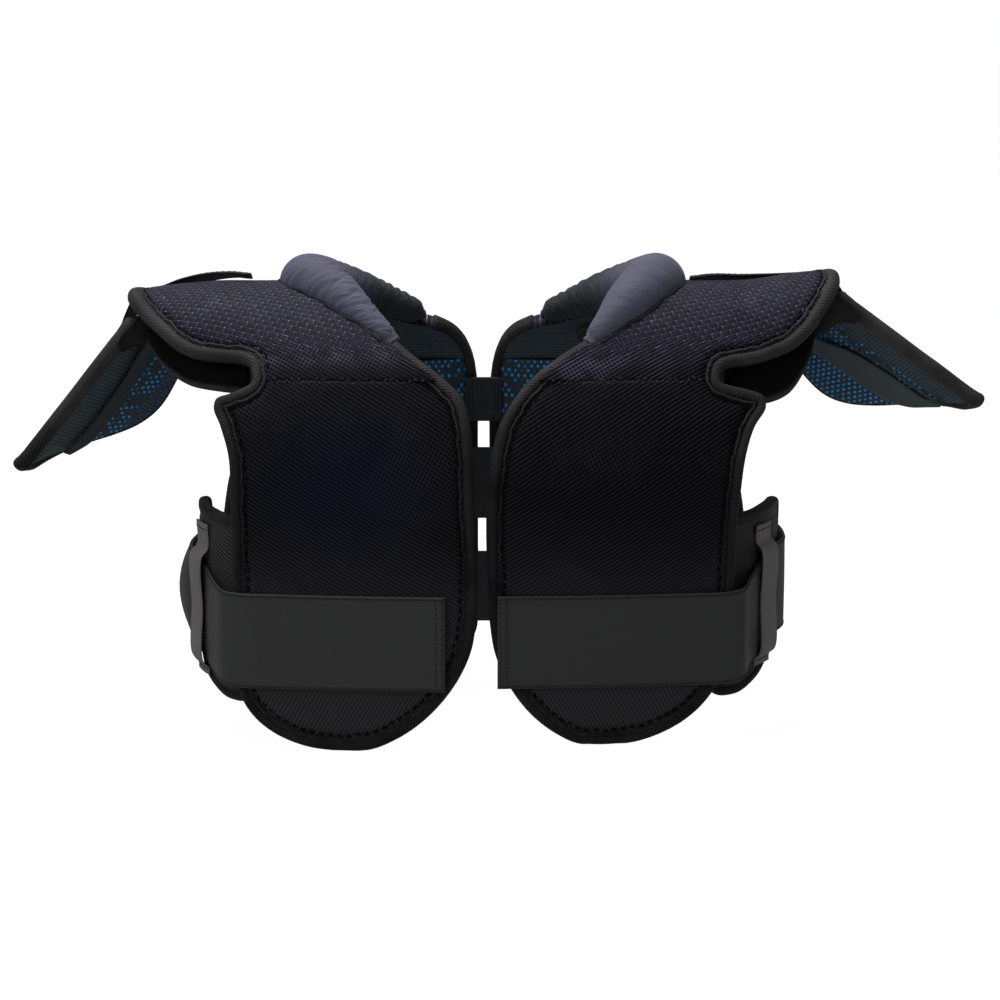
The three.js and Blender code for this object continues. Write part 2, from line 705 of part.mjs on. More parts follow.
// The flap's own surface: u runs from its hinge to its tip, v from its front edge to its rear edge
function flapSurface(side) {
  const droop = THREE.MathUtils.degToRad(side.flapDroop);
  const turn = THREE.MathUtils.degToRad(side.flapTurn);
  const { across, depth, height } = side.flapHinge;
  const hinge = vec(side.sign * across, depth, height);
  const along = vec(side.sign * Math.cos(droop), 0, -Math.sin(droop));
  const up = vec(side.sign * Math.sin(droop), 0, Math.cos(droop));
  const rear = vec(0, Math.cos(turn), 0).addScaledVector(up, -Math.sin(turn));
  const out = vec(0, 0, 0).crossVectors(along, rear).multiplyScalar(side.sign);
  const surface = (u, v) => {
    const bulge = FLAP_CUP * Math.sin(Math.PI * Math.min(1, Math.max(0, v / side.flapWide)));
    return hinge
      .clone()
      .addScaledVector(along, u)
      .addScaledVector(rear, v)
      .addScaledVector(out, bulge);
  };
  surface.orient = side.sign;
  return surface;
}

function armFlap(side) {
  const surface = flapSurface(side);
  const hinge = [0, 0];
  const [long, wide] = [side.flapLong, side.flapWide];
  const front = FLAP_ROWS.map((r) => [r.front * long, 0]);
  const rear = FLAP_ROWS.map((r) => [r.along * long, r.rear * wide]);
  const tip = [[long, 0], [long, FLAP_TIP * wide]];
  const loop = [hinge, ...front, ...tip, ...[...rear].reverse()];
  const inside = [long * 0.4, wide * 0.4];
  const directions = edgeDirections(surface, loop, inside, 4, true);
  const inset = loop.map((station, i) => moved(station, directions[i], -BINDING_WIDE - CLEAR));
  const a = inset.slice(1, 1 + front.length);
  const b = inset.slice(loop.length - rear.length).reverse();
  const corner = inset[0];
  a.unshift([mix(corner[0], a[0][0], FLAP_CORNER), corner[1]]);
  b.unshift([mix(corner[0], b[0][0], FLAP_CORNER), mix(corner[1], b[0][1], FLAP_CORNER)]);
  const rimmed = [true, true];
  return {
    surface,
    pad: sheetBetween(surface, a, b, PAD_COLUMNS, padFaces(FLAP_THICK, FLAP_EDGE), rimmed),
    binding: bindingAlong(surface, loop, directions, BINDING_WIDE, BINDING_THICK, true),
    lining: sheetBetween(surface, a, b, PAD_COLUMNS, liningFaces(FLAP_THICK, FLAP_EDGE), rimmed),
  };
}

// Webbing laid on a surface at a height above it, its width running along v
function acrossSurface(surface, u, v, wide, lift) {
  const across = [-0.5, 0, 0.5].map((t) => lifted(surface, u, v + t * wide, lift));
  return { across, normal: frameAt(surface, u, v).normal };
}

// The elastic across the flap's lining, sewn down at both ends
function flapStrap(side, surface) {
  const { from, to, wide } = FLAP_STRAP[side.name];
  const lift = -(FLAP_THICK / 2 + LINING_GAP + LINING_THICK + WEB_GAP + WEB_THICK / 2);
  const steps = 6;
  const stations = Array.from({ length: steps + 1 }, (_, i) => {
    const t = i / steps;
    const [u, v] = [mix(from[0], to[0], t) * side.flapLong, mix(from[1], to[1], t) * side.flapWide];
    return acrossSurface(surface, u, v, wide * mix(1, FLAP_STRAP_TAPER, t), lift);
  });
  return strip(stations, WEB_THICK);
}

// The strap over the shoulder that carries the flap: from its loose end near the neck roll, over
// the wing's edge and down the flap's outer face
function shoulderStrap(side, surface, flap) {
  const onWing = BINDING_THICK / 2 + CLEAR + WEB_THICK / 2;
  const onFlap = FLAP_THICK / 2 + CLEAR + WEB_THICK / 2;
  const over = SHOULDER_STRAP_OVER.map(({ reach, run, lift }) =>
    acrossSurface(surface, reach * WING_REACH, run, SHOULDER_STRAP_WIDE, onWing + lift),
  );
  const down = SHOULDER_STRAP_DOWN.map(({ along, lift }) => {
    const at = SHOULDER_STRAP_ON_FLAP * side.flapWide;
    return acrossSurface(flap, along * side.flapLong, at, SHOULDER_STRAP_WIDE, onFlap + lift);
  });
  return strip([...over, ...down], WEB_THICK);
}

// The side pad's own surface: u runs along its plan from front to back, v up from its lower edge.
// Its front end follows the chest pad's slope, since it is tucked behind that pad.
function sideSurface(side) {
  const places = SIDE_PLAN[side.name].map((p) => vec(p.out * CHEST_HALF, -p.depth * HALF_DEPTH, 0));
  const plan = new THREE.CatmullRomCurve3(places);
  const length = plan.getLength();
  const surface = (u, v) => {
    const share = Math.min(1, Math.max(0, u / length));
    const at = plan.getPointAt(share);
    at.addScaledVector(plan.getTangentAt(share), u - share * length);
    const height = SIDE_LOW + v;
    const slope = ((SPRING_HEIGHT - height) / SPRING_HEIGHT) * side.chestSplay;
    return vec(side.sign * at.x, at.y - slope * (1 - smooth(share * 1.2)), height);
  };
  surface.orient = side.sign;
  return { surface, length };
}

function sidePad(side) {
  const { surface, length } = sideSurface(side);
  const low = SIDE_ROWS.map((r) => [r.along * length, r.low * SIDE_HIGH]);
  const high = SIDE_ROWS.map((r) => [r.along * length, r.high * SIDE_HIGH]);
  const loop = [...low, ...[...high].reverse()];
  const inside = [length * 0.5, SIDE_HIGH * 0.5];
  const directions = edgeDirections(surface, loop, inside, 3, true);
  const inset = loop.map((station, i) => moved(station, directions[i], -SIDE_BINDING - CLEAR));
  const a = inset.slice(0, low.length);
  const b = inset.slice(low.length).reverse();
  return {
    surface,
    length,
    pad: sheetBetween(surface, a, b, SIDE_COLUMNS, padFaces(SIDE_THICK, SIDE_EDGE), [true, true]),
    binding: bindingAlong(surface, loop, directions, SIDE_BINDING, SIDE_THICK, true),
  };
}

// The belt: over the chest pad, under the keeper on the side pad, and on to the back pad
function belt(side, surface, wall) {
  const stations = [];
  const lift = PAD_THICK / 2 + CLEAR + BELT_THICK / 2;
  const lowAt = (turn) => mix(BELT_FRONT_LOW, side.beltBackLow, turn);
  const add = (place, turn, { bow = 0, thicker = 1 } = {}) => {
    const low = lowAt(turn);
    const marks = [low + BELT_WIDE, low + BELT_WIDE / 2, low].map(place);
    const { normal } = marks[1];
    const across = marks.map((m) => m.point);
    across[1].addScaledVector(normal, bow);
    stations.push({ across, normal, thicker });
  };
  const onBody = (u, face, above = lift) => (height) => {
    const frame = frameAt(surface, u, face * runAt(height));
    return { point: frame.point.addScaledVector(frame.normal, above), normal: frame.normal };
  };
  const frontEnd = side.beltFrom * CHEST_HALF;
  for (const u of [frontEnd, frontEnd + BELT_FOLD]) add(onBody(u, -1), 0, { thicker: 1.7 });
  add(onBody(frontEnd + BELT_FOLD + 2, -1), 0);
  for (const out of BELT_ON_CHEST) add(onBody(out * CHEST_HALF, -1), 0);
  add(turnAt(side, surface, BINDING_THICK / 2 + CLEAR + BELT_THICK), 0.06);
  for (const row of BELT_ON_SIDE) {
    const away = SIDE_THICK / 2 + CLEAR + BELT_THICK / 2 + row.lift;
    const place = (height) => {
      const frame = frameAt(wall.surface, row.along * wall.length, height - SIDE_LOW);
      return { point: frame.point.addScaledVector(frame.normal, away), normal: frame.normal };
    };
    add(place, row.turn);
  }
  const behind = BELT_BEHIND[side.name];
  behind.forEach((row, i) => {
    const [before, after] = [behind[Math.max(0, i - 1)], behind[Math.min(behind.length - 1, i + 1)]];
    const along = vec((after.out - before.out) * CHEST_HALF, (before.depth - after.depth) * HALF_DEPTH, 0);
    const normal = vec(side.sign * along.y, -along.x, 0).normalize();
    const at = vec(side.sign * row.out * CHEST_HALF, -row.depth * HALF_DEPTH, 0);
    add((height) => ({ point: at.clone().setZ(height), normal }), 1, { bow: row.bow });
  });
  for (const out of BELT_ON_BACK) add(onBody(out * CHEST_HALF, 1), 1);
  return strip(stations, BELT_THICK);
}

// Where the belt turns round the chest pad's arm edge
function turnAt(side, surface, above) {
  return (height) => {
    const u = CHEST[side.name].lobe.armOut * CHEST_HALF + BELT_THICK + 4;
    const frame = frameAt(surface, u, -runAt(height));
    const normal = frame.normal.clone().add(vec(side.sign, 0, 0)).normalize();
    return { point: frame.point.addScaledVector(frame.normal, above - 3), normal };
  };
}

// The upright webbing sewn to the side pad, under which the belt runs
function keeper(side, wall) {
  const along = KEEPER_AT * wall.length;
  const flat = SIDE_THICK / 2 + CLEAR + WEB_THICK / 2;
  const over = flat + BELT_THICK + CLEAR + KEEPER_SLACK;
  const turn = BELT_ON_SIDE.find((row) => row.along === KEEPER_AT).turn;
  const foot = mix(BELT_FRONT_LOW, side.beltBackLow, turn) - SIDE_LOW;
  const head = foot + BELT_WIDE;
  const heights = [
    { up: foot - KEEPER_STEP - 5, lift: flat },
    { up: foot - KEEPER_STEP, lift: flat },
    { up: foot - KEEPER_STEP / 2, lift: over },
    { up: mix(foot, head, 0.5), lift: over },
    { up: head + KEEPER_STEP / 2, lift: over },
    { up: head + KEEPER_STEP, lift: flat },
    { up: SIDE_HIGH - SIDE_BINDING - 5, lift: flat },
  ];
  const stations = heights.map(({ up, lift }) => {
    const at = [-0.5, 0, 0.5].map((t) => along + t * KEEPER_WIDE);
    const across = at.map((u) => lifted(wall.surface, u, up, lift));
    return { across, normal: frameAt(wall.surface, along, up).normal };
  });
  return strip(stations, WEB_THICK);
}

// A strap across the gap between the two back pads, on their inner faces
function centreStrap(surfaces, { low, high }) {
  const reach = BACK_GAP + STRAP_GRIP;
  const lift = -(BINDING_THICK / 2 + WEB_GAP + WEB_THICK / 2);
  const rows = 4;
  const stations = Array.from({ length: rows }, (_, i) => {
    const run = runAt(mix(low, high, i / (rows - 1)));
    const normal = frameAt(surfaces.left, reach, run).normal.setX(0).normalize();
    const across = [surfaces.right, surfaces.left].map((s) => lifted(s, reach, run, lift));
    return { across, normal };
  });
  return strip(stations, WEB_THICK);
}

// The small tab inside a shoulder pad, rounded at the end towards the centre line
function innerTab(surface) {
  const [u, v] = fromShares(TAB.down, TAB.out);
  const lift = -(SHOULDER_THICK / 2 + WEB_GAP + TAB.thick / 2);
  const bulge = [0.55, 0.9, 1, 1, 1];
  const stations = [0, 0.12, 0.3, 0.65, 1].map((t, i) =>
    acrossSurface(surface, u + t * TAB.long, v, TAB.wide * bulge[i], lift),
  );
  return strip(stations, TAB.thick);
}

function meshOf(name, geometry, finish) {
  const [color, roughness] = COLOURS[finish];
  const material = new THREE.MeshStandardMaterial({ color, roughness, metalness: 0 });
  const mesh = new THREE.Mesh(geometry, material);
  mesh.name = name;
  return mesh;
}

function half(side) {
  const group = new THREE.Group();
  const surface = bodySurface(side);
  const put = (name, geometry, finish) =>
    group.add(meshOf(`${name}_${side.name}`, geometry, finish));
  const throat = THROAT[side.name].map((r) => fromShares(r.down, r.out));
  const nape = NAPE.map((r) => fromShares(r.down, r.out));
  const roll = rollFrames(surface, [...ROLL_FRONT[side.name], ...ROLL_BACK]);
  const chest = bodyPad(side, surface, throat, CHEST[side.name], CHEST, -1);
  const back = bodyPad(side, surface, nape, BACK, BACK, 1);
  const shoulder = shoulderPad(side, surface, chest, back, roll);
  const flap = armFlap(side);
  const wall = sidePad(side);
  put("chest_pad", chest.pad, "mesh");
  put("chest_binding", chest.binding, "binding");
  put("back_pad", back.pad, "mesh");
  put("back_lining", back.lining(), "lining");
  put("back_binding", back.binding, "binding");
  put("shoulder_pad", shoulder.pad, "mesh");
  put("wing_binding", shoulder.binding, "binding");
  put("neck_roll", neckRoll(surface, roll), "roll");
  put("under_cap", underCap(side, surface), "cap");
  put("arm_flap", flap.pad, "mesh");
  put("flap_binding", flap.binding, "binding");
  put("flap_lining", flap.lining, "lining");
  put("flap_strap", flapStrap(side, flap.surface), "elastic");
  put("shoulder_strap", shoulderStrap(side, surface, flap.surface), "elastic");
  put("side_pad", wall.pad, "mesh");
  put("side_binding", wall.binding, "binding");
  put("belt", belt(side, surface, wall), "elastic");
  put("belt_keeper", keeper(side, wall), "elastic");
  return { group, surface };
}

const root = new THREE.Group();
const halves = { right: half(RIGHT), left: half(LEFT) };
root.add(halves.right.group, halves.left.group);
const surfaces = { right: halves.right.surface, left: halves.left.surface };
for (const row of CENTRE_STRAPS) {
  root.add(meshOf(`centre_strap_${row.name}`, centreStrap(surfaces, row), "elastic"));
}

root.add(meshOf("inner_tab", innerTab(surfaces.left), "elastic"));

// The origin is on the floor, at the middle of the whole set
const bounds = new THREE.Box3().setFromObject(root);
const middle = bounds.getCenter(vec(0, 0, 0));
root.position.set(-middle.x, -middle.y, -bounds.min.z);

export default root;
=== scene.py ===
# Looks for the football shoulder pads. Lengths are in millimetres in the CAD source's own
# centre-line frame until place() turns them into metres in the row frame.
import math

import bmesh
import bpy
import numpy as np
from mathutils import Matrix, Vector
from mathutils.kdtree import KDTree

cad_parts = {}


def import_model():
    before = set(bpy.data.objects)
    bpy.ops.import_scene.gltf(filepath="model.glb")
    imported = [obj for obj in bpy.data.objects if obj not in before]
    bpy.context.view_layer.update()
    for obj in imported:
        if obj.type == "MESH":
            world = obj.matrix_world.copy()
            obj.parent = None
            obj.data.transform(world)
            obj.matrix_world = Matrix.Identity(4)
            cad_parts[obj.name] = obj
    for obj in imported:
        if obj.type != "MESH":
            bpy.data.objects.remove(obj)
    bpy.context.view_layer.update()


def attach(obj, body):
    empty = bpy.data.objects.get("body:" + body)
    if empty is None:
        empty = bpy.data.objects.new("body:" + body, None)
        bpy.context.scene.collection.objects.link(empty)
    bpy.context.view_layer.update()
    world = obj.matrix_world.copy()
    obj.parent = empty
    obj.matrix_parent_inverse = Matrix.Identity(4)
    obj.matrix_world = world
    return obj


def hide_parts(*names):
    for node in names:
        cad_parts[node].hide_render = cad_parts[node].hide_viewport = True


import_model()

SHIFT = np.array([-12.61, 2.27, 0.148])  # from the centre-line frame to the row frame
CHEST_HALF = 200
WING_REACH = 290
HALF_DEPTH = 118
SPRING = 210  # height where the arch over the shoulder begins
RISE = 146
ARCH = math.pi / 2 * math.hypot(HALF_DEPTH, RISE) * math.sqrt(0.5)  # from the crest to that height
SECTION = ARCH + SPRING  # from the crest to the floor
SEAM_RUN = 0.314 * SECTION  # from the crest to the seam between shoulder and chest or back
TUCK = 6.4  # a pad's own edge lies this far inside its outline, under the binding
STITCHED = 13.6  # the sewn line beside the binding, from the outline
CLEAR = 0.5
PAD_HALF, WING_HALF, FLAP_HALF, SIDE_HALF = 6.5, 7.5, 6, 5.5
BELT_TALL, BELT_FOOT = 76, 49
SIDE_TALL, SIDE_FOOT = 153, 31
STRAP_WIDE, KEEPER_WIDE = 36, 29
HALF_WIDTHS = (-0.5, 0, 0.5)
PAD_EDGE = 4.4  # half the thickness of a pad's tucked edge
PAD_FULL = 8.3  # height of a pad's face away from its edge
PAD_REACH = 12  # how far from its edge a pad takes to swell
SEAM_WIDE = 2.4
PROBE = 0.8  # the step over which a surface's directions are measured

# One entry a half, as in the CAD source
SIDES = {
    "right": dict(
        sign=-1, notch=0.915, splay=12, tip=-5, hinge=(289, -8, 331), droop=51.3, turn=35,
        long=156, wide=110, belt_from=0.145, belt_back=66,
        seam_out=0.13,
        rows=[(0.322, 0.112, 0.322, 0.935), (0.332, 0.092, 0.336, 1.0), (0.344, 0.075, 0.346, 1.054),
              (0.362, 0.058, 0.364, 1.066), (0.395, 0.044, 0.397, 1.038), (0.449, 0.034, 0.449, 1.005),
              (0.541, 0.03, 0.541, 1.0), (0.64, 0.018, 0.64, 0.995)],
        lobe=(0.755, 0.025, 0.85, 0.985, 0.535),
        throat=[(-0.228, 0.335), (-0.262, 0.26), (-0.29, 0.187)],
        roll=[(-0.222, 0.362, 0.3), (-0.2, 0.402, 0.38), (-0.176, 0.447, 0.47), (-0.147, 0.498, 0.58),
              (-0.107, 0.56, 0.74), (-0.055, 0.638, 0.93)],
        wing=[(-0.3, 0.632), (-0.284, 0.638), (-0.276, 0.662), (-0.273, 0.72), (-0.266, 0.785),
              (-0.247, 0.84), (-0.207, 0.893), (-0.15, 0.95), (-0.09, 0.987), (-0.035, 1.002),
              (0.02, 0.998), (0.08, 0.97), (0.14, 0.925), (0.205, 0.86), (0.252, 0.785),
              (0.276, 0.7), (0.3, 0.633)],
        cap=[(0.655, -0.322, 0.315), (0.74, -0.318, 0.308), (0.825, -0.305, 0.288), (0.87, -0.283, 0.262),
             (0.908, -0.25, 0.225), (0.935, -0.205, 0.17), (0.952, -0.14, 0.09)],
        plan=[(0.905, 0.725), (0.99, 0.655), (1.065, 0.525), (1.13, 0.3), (1.155, 0.04), (1.16, -0.17)],
        behind=[(1.205, 0.1, 6), (1.22, -0.15, 11), (1.215, -0.45, 7), (1.19, -0.75, 2), (1.13, -0.97, 0)],
    ),
    "left": dict(
        sign=1, notch=0.945, splay=-10, tip=10, hinge=(293, -8, 352), droop=36.3, turn=40,
        long=148, wide=122, belt_from=0.06, belt_back=74,
        seam_out=0.175,
        rows=[(0.322, 0.16, 0.32, 0.975), (0.332, 0.142, 0.331, 1.06), (0.344, 0.122, 0.343, 1.115),
              (0.362, 0.098, 0.364, 1.128), (0.395, 0.062, 0.4, 1.08), (0.449, 0.036, 0.452, 1.043),
              (0.541, 0.017, 0.541, 1.021), (0.64, 0.018, 0.64, 1.01)],
        lobe=(0.76, 0.03, 0.777, 1.0, 0.45),
        throat=[(-0.226, 0.402), (-0.262, 0.3), (-0.29, 0.228)],
        roll=[(-0.226, 0.434, 0.3), (-0.206, 0.468, 0.44), (-0.179, 0.513, 0.59), (-0.147, 0.56, 0.76),
              (-0.108, 0.612, 0.9), (-0.056, 0.668, 1.0)],
        wing=[(-0.302, 0.653), (-0.291, 0.659), (-0.284, 0.684), (-0.28, 0.735), (-0.273, 0.79),
              (-0.258, 0.856), (-0.224, 0.914), (-0.165, 0.963), (-0.1, 0.995), (-0.04, 1.006),
              (0.02, 1.0), (0.08, 0.97), (0.14, 0.925), (0.205, 0.86), (0.252, 0.785),
              (0.276, 0.71), (0.3, 0.654)],
        cap=[(0.68, -0.338, 0.315), (0.75, -0.348, 0.308), (0.815, -0.348, 0.288), (0.862, -0.335, 0.262),
             (0.895, -0.305, 0.225), (0.922, -0.255, 0.17), (0.935, -0.17, 0.09)],
        plan=[(0.905, 0.725), (0.99, 0.655), (1.08, 0.51), (1.155, 0.26), (1.2, 0.02), (1.215, -0.17)],
        behind=[(1.245, 0.06, 0), (1.258, -0.15, 1), (1.255, -0.45, 1), (1.225, -0.75, 0), (1.15, -0.97, 0)],
    ),
}
BACK = dict(
    seam_out=0.046,
    rows=[(0.322, 0.043, 0.322, 0.96), (0.332, 0.038, 0.334, 1.02), (0.344, 0.035, 0.346, 1.065),
          (0.362, 0.03, 0.366, 1.078), (0.4, 0.026, 0.4, 1.066), (0.48, 0.025, 0.48, 1.06),
          (0.58, 0.025, 0.58, 1.11), (0.7, 0.025, 0.7, 1.14)],
    lobe=(0.87, 0.025, 0.83, 1.13, 0.6),
    nape=[(0.214, 0.197), (0.238, 0.128), (0.27, 0.08)],
)
# The neck roll behind the shoulder's crest, as (along, out, thickness)
ROLL_BACK = [
    (0, 0.712, 1.04), (0.06, 0.65, 0.95), (0.112, 0.53, 0.78), (0.158, 0.405, 0.6), (0.196, 0.285, 0.42),
]
# A flap's rows, as (its rear edge's place along, that edge's place across, its front edge's place along)
FLAP_ROWS = [
    (0.05, 0.45, 0.15), (0.1, 0.88, 0.26), (0.26, 0.965, 0.37), (0.4, 0.97, 0.48), (0.52, 0.91, 0.58),
    (0.63, 0.79, 0.67), (0.73, 0.64, 0.75), (0.83, 0.47, 0.81), (0.925, 0.31, 0.86),
]
# The strap over the shoulder, as (reach, run, lift), and down the flap, as (along, lift)
STRAP_OVER = {
    "right": [(0.66, 18, 4), (0.72, 20, 4.5), (0.79, 24, 4), (0.86, 33, 2.5), (0.92, 44, 0.1),
              (0.95, 50, 0.5), (0.99, 53, -3)],
    "left": [(0.59, 17, 1.6), (0.655, 19, 2.6), (0.73, 22, 2.2), (0.81, 28, 1.2), (0.89, 39, 0.1),
             (0.95, 50, 0.5), (0.99, 53, -3)],
}
STRAP_DOWN = [(0.28, 3), (0.38, 1.5), (0.52, 0.3)]
# The side pad's rows, as (along, its foot, its head)
SIDE_ROWS = [
    (0.05, 0.02, 0.97), (0.2, 0.0, 0.985), (0.36, 0.04, 0.99), (0.52, 0.1, 0.995), (0.68, 0.21, 1.0),
    (0.83, 0.33, 1.0), (0.93, 0.43, 0.975), (0.985, 0.52, 0.9),
]
# The elastic across a flap's lining, as (along, across, width), and the corded seam beside it
FLAP_ELASTIC = {
    "right": [(0.03, 0.36, 17), (0.16, 0.4, 18), (0.3, 0.46, 18.5), (0.437, 0.484, 18.5),
              (0.589, 0.496, 18.5), (0.718, 0.476, 18), (0.785, 0.43, 14), (0.825, 0.39, 10)],
    "left": [(0.07, 0.61, 15), (0.13, 0.59, 18), (0.262, 0.543, 28), (0.466, 0.512, 33), (0.647, 0.487, 32),
             (0.76, 0.44, 22), (0.825, 0.35, 12), (0.865, 0.27, 7)],
}
FLAP_CORD = [
    (0.144, 0.309), (0.284, 0.381), (0.389, 0.361), (0.495, 0.341), (0.603, 0.333), (0.708, 0.313),
    (0.794, 0.313), (0.86, 0.28),
]
# The hem of the cloth that joins a flap to the wing, as (across, along)
HINGE_HEM = [
    (-0.06, 0.12), (0.02, 0.17), (0.08, 0.16), (0.155, 0.118), (0.28, 0.104), (0.41, 0.101),
    (0.53, 0.085), (0.6, 0.04),
]

# What each visible piece stands for: its slot, the CAD pieces it replaces and, if padded, its fill
STANDS_FOR = {
    "chest_panel_*": ("mesh", "chest_pad_*", 0.45),
    "back_panel_*": ("mesh", "back_pad_*", 0.45),
    "shoulder_panel_*": ("mesh", "shoulder_pad_*", 0.45),
    "flap_*": ("mesh", "arm_flap_*", 0.4),
    "side_panel_*": ("mesh", "side_pad_*", 0.4),
    "roll_*": ("roll", "neck_roll_*", 0.75),
    "cap_*": ("cap", "under_cap_*", 0.4),
    "edge_binding_*": ("binding", "chest_binding_* wing_binding_* back_binding_*", None),
    "flap_edge_*": ("binding", "flap_binding_*", None),
    "side_edge_*": ("binding", "side_binding_*", None),
    "back_facing_*": ("lining", "back_lining_*", None),
    "flap_facing_*": ("lining", "flap_lining_*", None),
    "flap_elastic_*": ("elastic", "flap_strap_*", None),
    "hook_strap_*": ("elastic", "shoulder_strap_*", None),
    "belt_band_*": ("elastic", "belt_*", None),
    "keeper_*": ("elastic", "belt_keeper_*", None),
    "link_strap_*": ("elastic", "centre_strap_*", None),
    "tab_inside": ("elastic", "inner_tab", None),
}


# Numbers, splines and soft noise
def blend01(t):
    t = np.clip(t, 0, 1)
    return t * t * (3 - 2 * t)


def swell(d, reach):
    """0 at an edge, rising to 1 away from it."""
    return 1 - np.exp(-d / reach)


def dip(x, width):
    return np.exp(-((x / width) ** 2))


def unit(v):
    return v / np.maximum(np.linalg.norm(v, axis=-1, keepdims=True), 1e-9)


def between(a, b, marks=9):
    return np.array(a) + (np.array(b) - np.array(a)) * np.linspace(0, 1, marks)[:, None]


def bend(s, start, leave, end, arrive):
    """A cubic from start to end with the slopes leave and arrive."""
    return (
        (2 * s**3 - 3 * s**2 + 1) * start
        + (s**3 - 2 * s**2 + s) * leave
        + (3 * s**2 - 2 * s**3) * end
        + (s**3 - s**2) * arrive
    )


def hermite(points, at, closed=False):
    """A smooth curve through points, read at fractional places in their list."""
    p = np.asarray(points, float)
    if closed:
        p = np.concatenate([p[-2:], p, p[:3]])
        at = np.asarray(at) + 2
    h = np.linalg.norm(np.diff(p, axis=0), axis=1) ** 0.6 + 1e-6
    slope = np.diff(p, axis=0) / h[:, None]
    m = np.empty_like(p)
    m[1:-1] = (slope[:-1] * h[1:, None] + slope[1:] * h[:-1, None]) / (h[:-1] + h[1:])[:, None]
    m[0], m[-1] = slope[0], slope[-1]
    i = np.clip(np.floor(at).astype(int), 0, len(p) - 2)
    w = h[i][:, None]
    return bend((np.asarray(at) - i)[:, None], p[i], w * m[i], p[i + 1], w * m[i + 1])


def run_along(curve):
    return np.concatenate([[0], np.cumsum(np.linalg.norm(np.diff(curve, axis=0), axis=1))])


def evenly(curve, step):
    """Fractional places that are evenly spaced along a polyline, and the run at each."""
    run = run_along(curve)
    marks = np.linspace(0, run[-1], max(2, int(round(run[-1] / step)) + 1))
    return np.interp(marks, run, np.arange(len(curve))), marks


def at_places(values, at):
    index = np.arange(len(values))
    return np.stack([np.interp(at, index, column) for column in values.T], 1)


def ripple(a, b, seed, scale):
    """Soft noise from -1 to 1 over two coordinates."""
    rng = np.random.RandomState(seed)
    waves = 7
    total = 0
    for _ in range(waves):
        angle, phase, size = rng.uniform(0, 2 * math.pi), rng.uniform(0, 2 * math.pi), rng.uniform(0.6, 1.7)
        k = 2 * math.pi / (scale * size)
        total = total + np.sin(k * (a * math.cos(angle) + b * math.sin(angle)) + phase)
    return total / waves


# Surfaces
def body_surface(side):
    """A half's middle layer: u is the way out, v the way down from the crest, minus in front."""

    def surface(u, v):
        u, v = np.broadcast_arrays(np.asarray(u, float), np.asarray(v, float))
        depth = HALF_DEPTH - 18 * (u / CHEST_HALF) ** 2
        run = np.abs(v)
        angle = np.minimum(run / ARCH, 1) * math.pi / 2
        rise = RISE + side["tip"] * blend01((u - 205) / 85)
        leg = np.maximum(run - ARCH, 0)
        splay = np.where(v < 0, side["splay"], 12)
        y = np.where(v < 0, -1.0, 1.0) * (depth * np.sin(angle) + leg / SPRING * splay)
        z = np.where(run < ARCH, SPRING + rise * np.cos(angle), SPRING - leg)
        return np.stack([side["sign"] * u, y, z], -1)

    surface.orient = side["sign"]
    return surface


def run_at(height):
    """The way down from the crest to a height."""
    if height < SPRING:
        return SECTION - height
    return ARCH * math.acos((height - SPRING) / RISE) / (math.pi / 2)


def frame_at(surface, u, v):
    """A surface's point, its outward normal and its directions along u and v."""
    point = surface(u, v)
    along_u = (surface(np.add(u, PROBE), v) - surface(np.subtract(u, PROBE), v)) / (2 * PROBE)
    along_v = (surface(u, np.add(v, PROBE)) - surface(u, np.subtract(v, PROBE))) / (2 * PROBE)
    return point, unit(np.cross(along_u, along_v)) * surface.orient, along_u, along_v


def lifted(surface, u, v, lift):
    """The point above a surface's own point, and the normal there."""
    point, normal, _, _ = frame_at(surface, u, v)
    return point + normal * np.asarray(lift)[..., None], normal


def edge_directions(surface, stations, inside, probe, closed=False):
    """The (u, v) steps that lead a millimetre out of an edge, mitred at its corners."""
    s = np.asarray(stations, float)
    p, n, du, dv = frame_at(surface, s[:, 0], s[:, 1])
    count = len(s)
    out = np.zeros_like(p)
    for i in range(count):
        before = (i - 1) % count if closed else max(0, i - 1)
        after = (i + 1) % count if closed else min(count - 1, i + 1)
        legs = [q for q in (p[i] - p[before], p[after] - p[i]) if np.linalg.norm(q) > 1e-6]
        sides = [unit(np.cross(unit(q), n[i])) for q in legs]
        mitre = unit(sum(sides))
        out[i] = mitre * min(2, 1 / max(0.1, float(mitre @ sides[0])))
    if (p[probe] - surface(*inside)) @ out[probe] < 0:
        out = -out
    a, b, c = (du * du).sum(1), (du * dv).sum(1), (dv * dv).sum(1)
    pu, pv = (du * out).sum(1), (dv * out).sum(1)
    return np.stack([c * pu - b * pv, a * pv - b * pu], 1) / (a * c - b * b)[:, None]


def inset_line(path, directions, distance):
    return [tuple(q) for q in np.asarray(path, float) - directions * distance]


def body_edges(side, outline, powers, face):
    """The neck's and the arm's edge of a body panel, down to the lobe's rounded foot."""
    neck = [(outline["seam_out"] * CHEST_HALF, face * SEAM_RUN)]
    arm = [(side["notch"] * CHEST_HALF, face * SEAM_RUN)]
    for neck_down, neck_out, arm_down, arm_out in outline["rows"]:
        neck.append((neck_out * CHEST_HALF, face * neck_down * SECTION))
        arm.append((arm_out * CHEST_HALF, face * arm_down * SECTION))
    neck_from, neck_out, arm_from, arm_out, low_out = outline["lobe"]
    sweep = 0.86 * math.pi / 2
    both = (neck, neck_out, neck_from, powers[0]), (arm, arm_out, arm_from, powers[1])
    for step in range(7):
        sink = math.sin(step / 6 * sweep)
        for edge, out, start, power in both:
            keep = (1 - sink**power) ** (1 / power)
            down = start + (1 - start) * sink / math.sin(sweep)
            edge.append(((low_out + (out - low_out) * keep) * CHEST_HALF, face * down * SECTION))
    return neck, arm


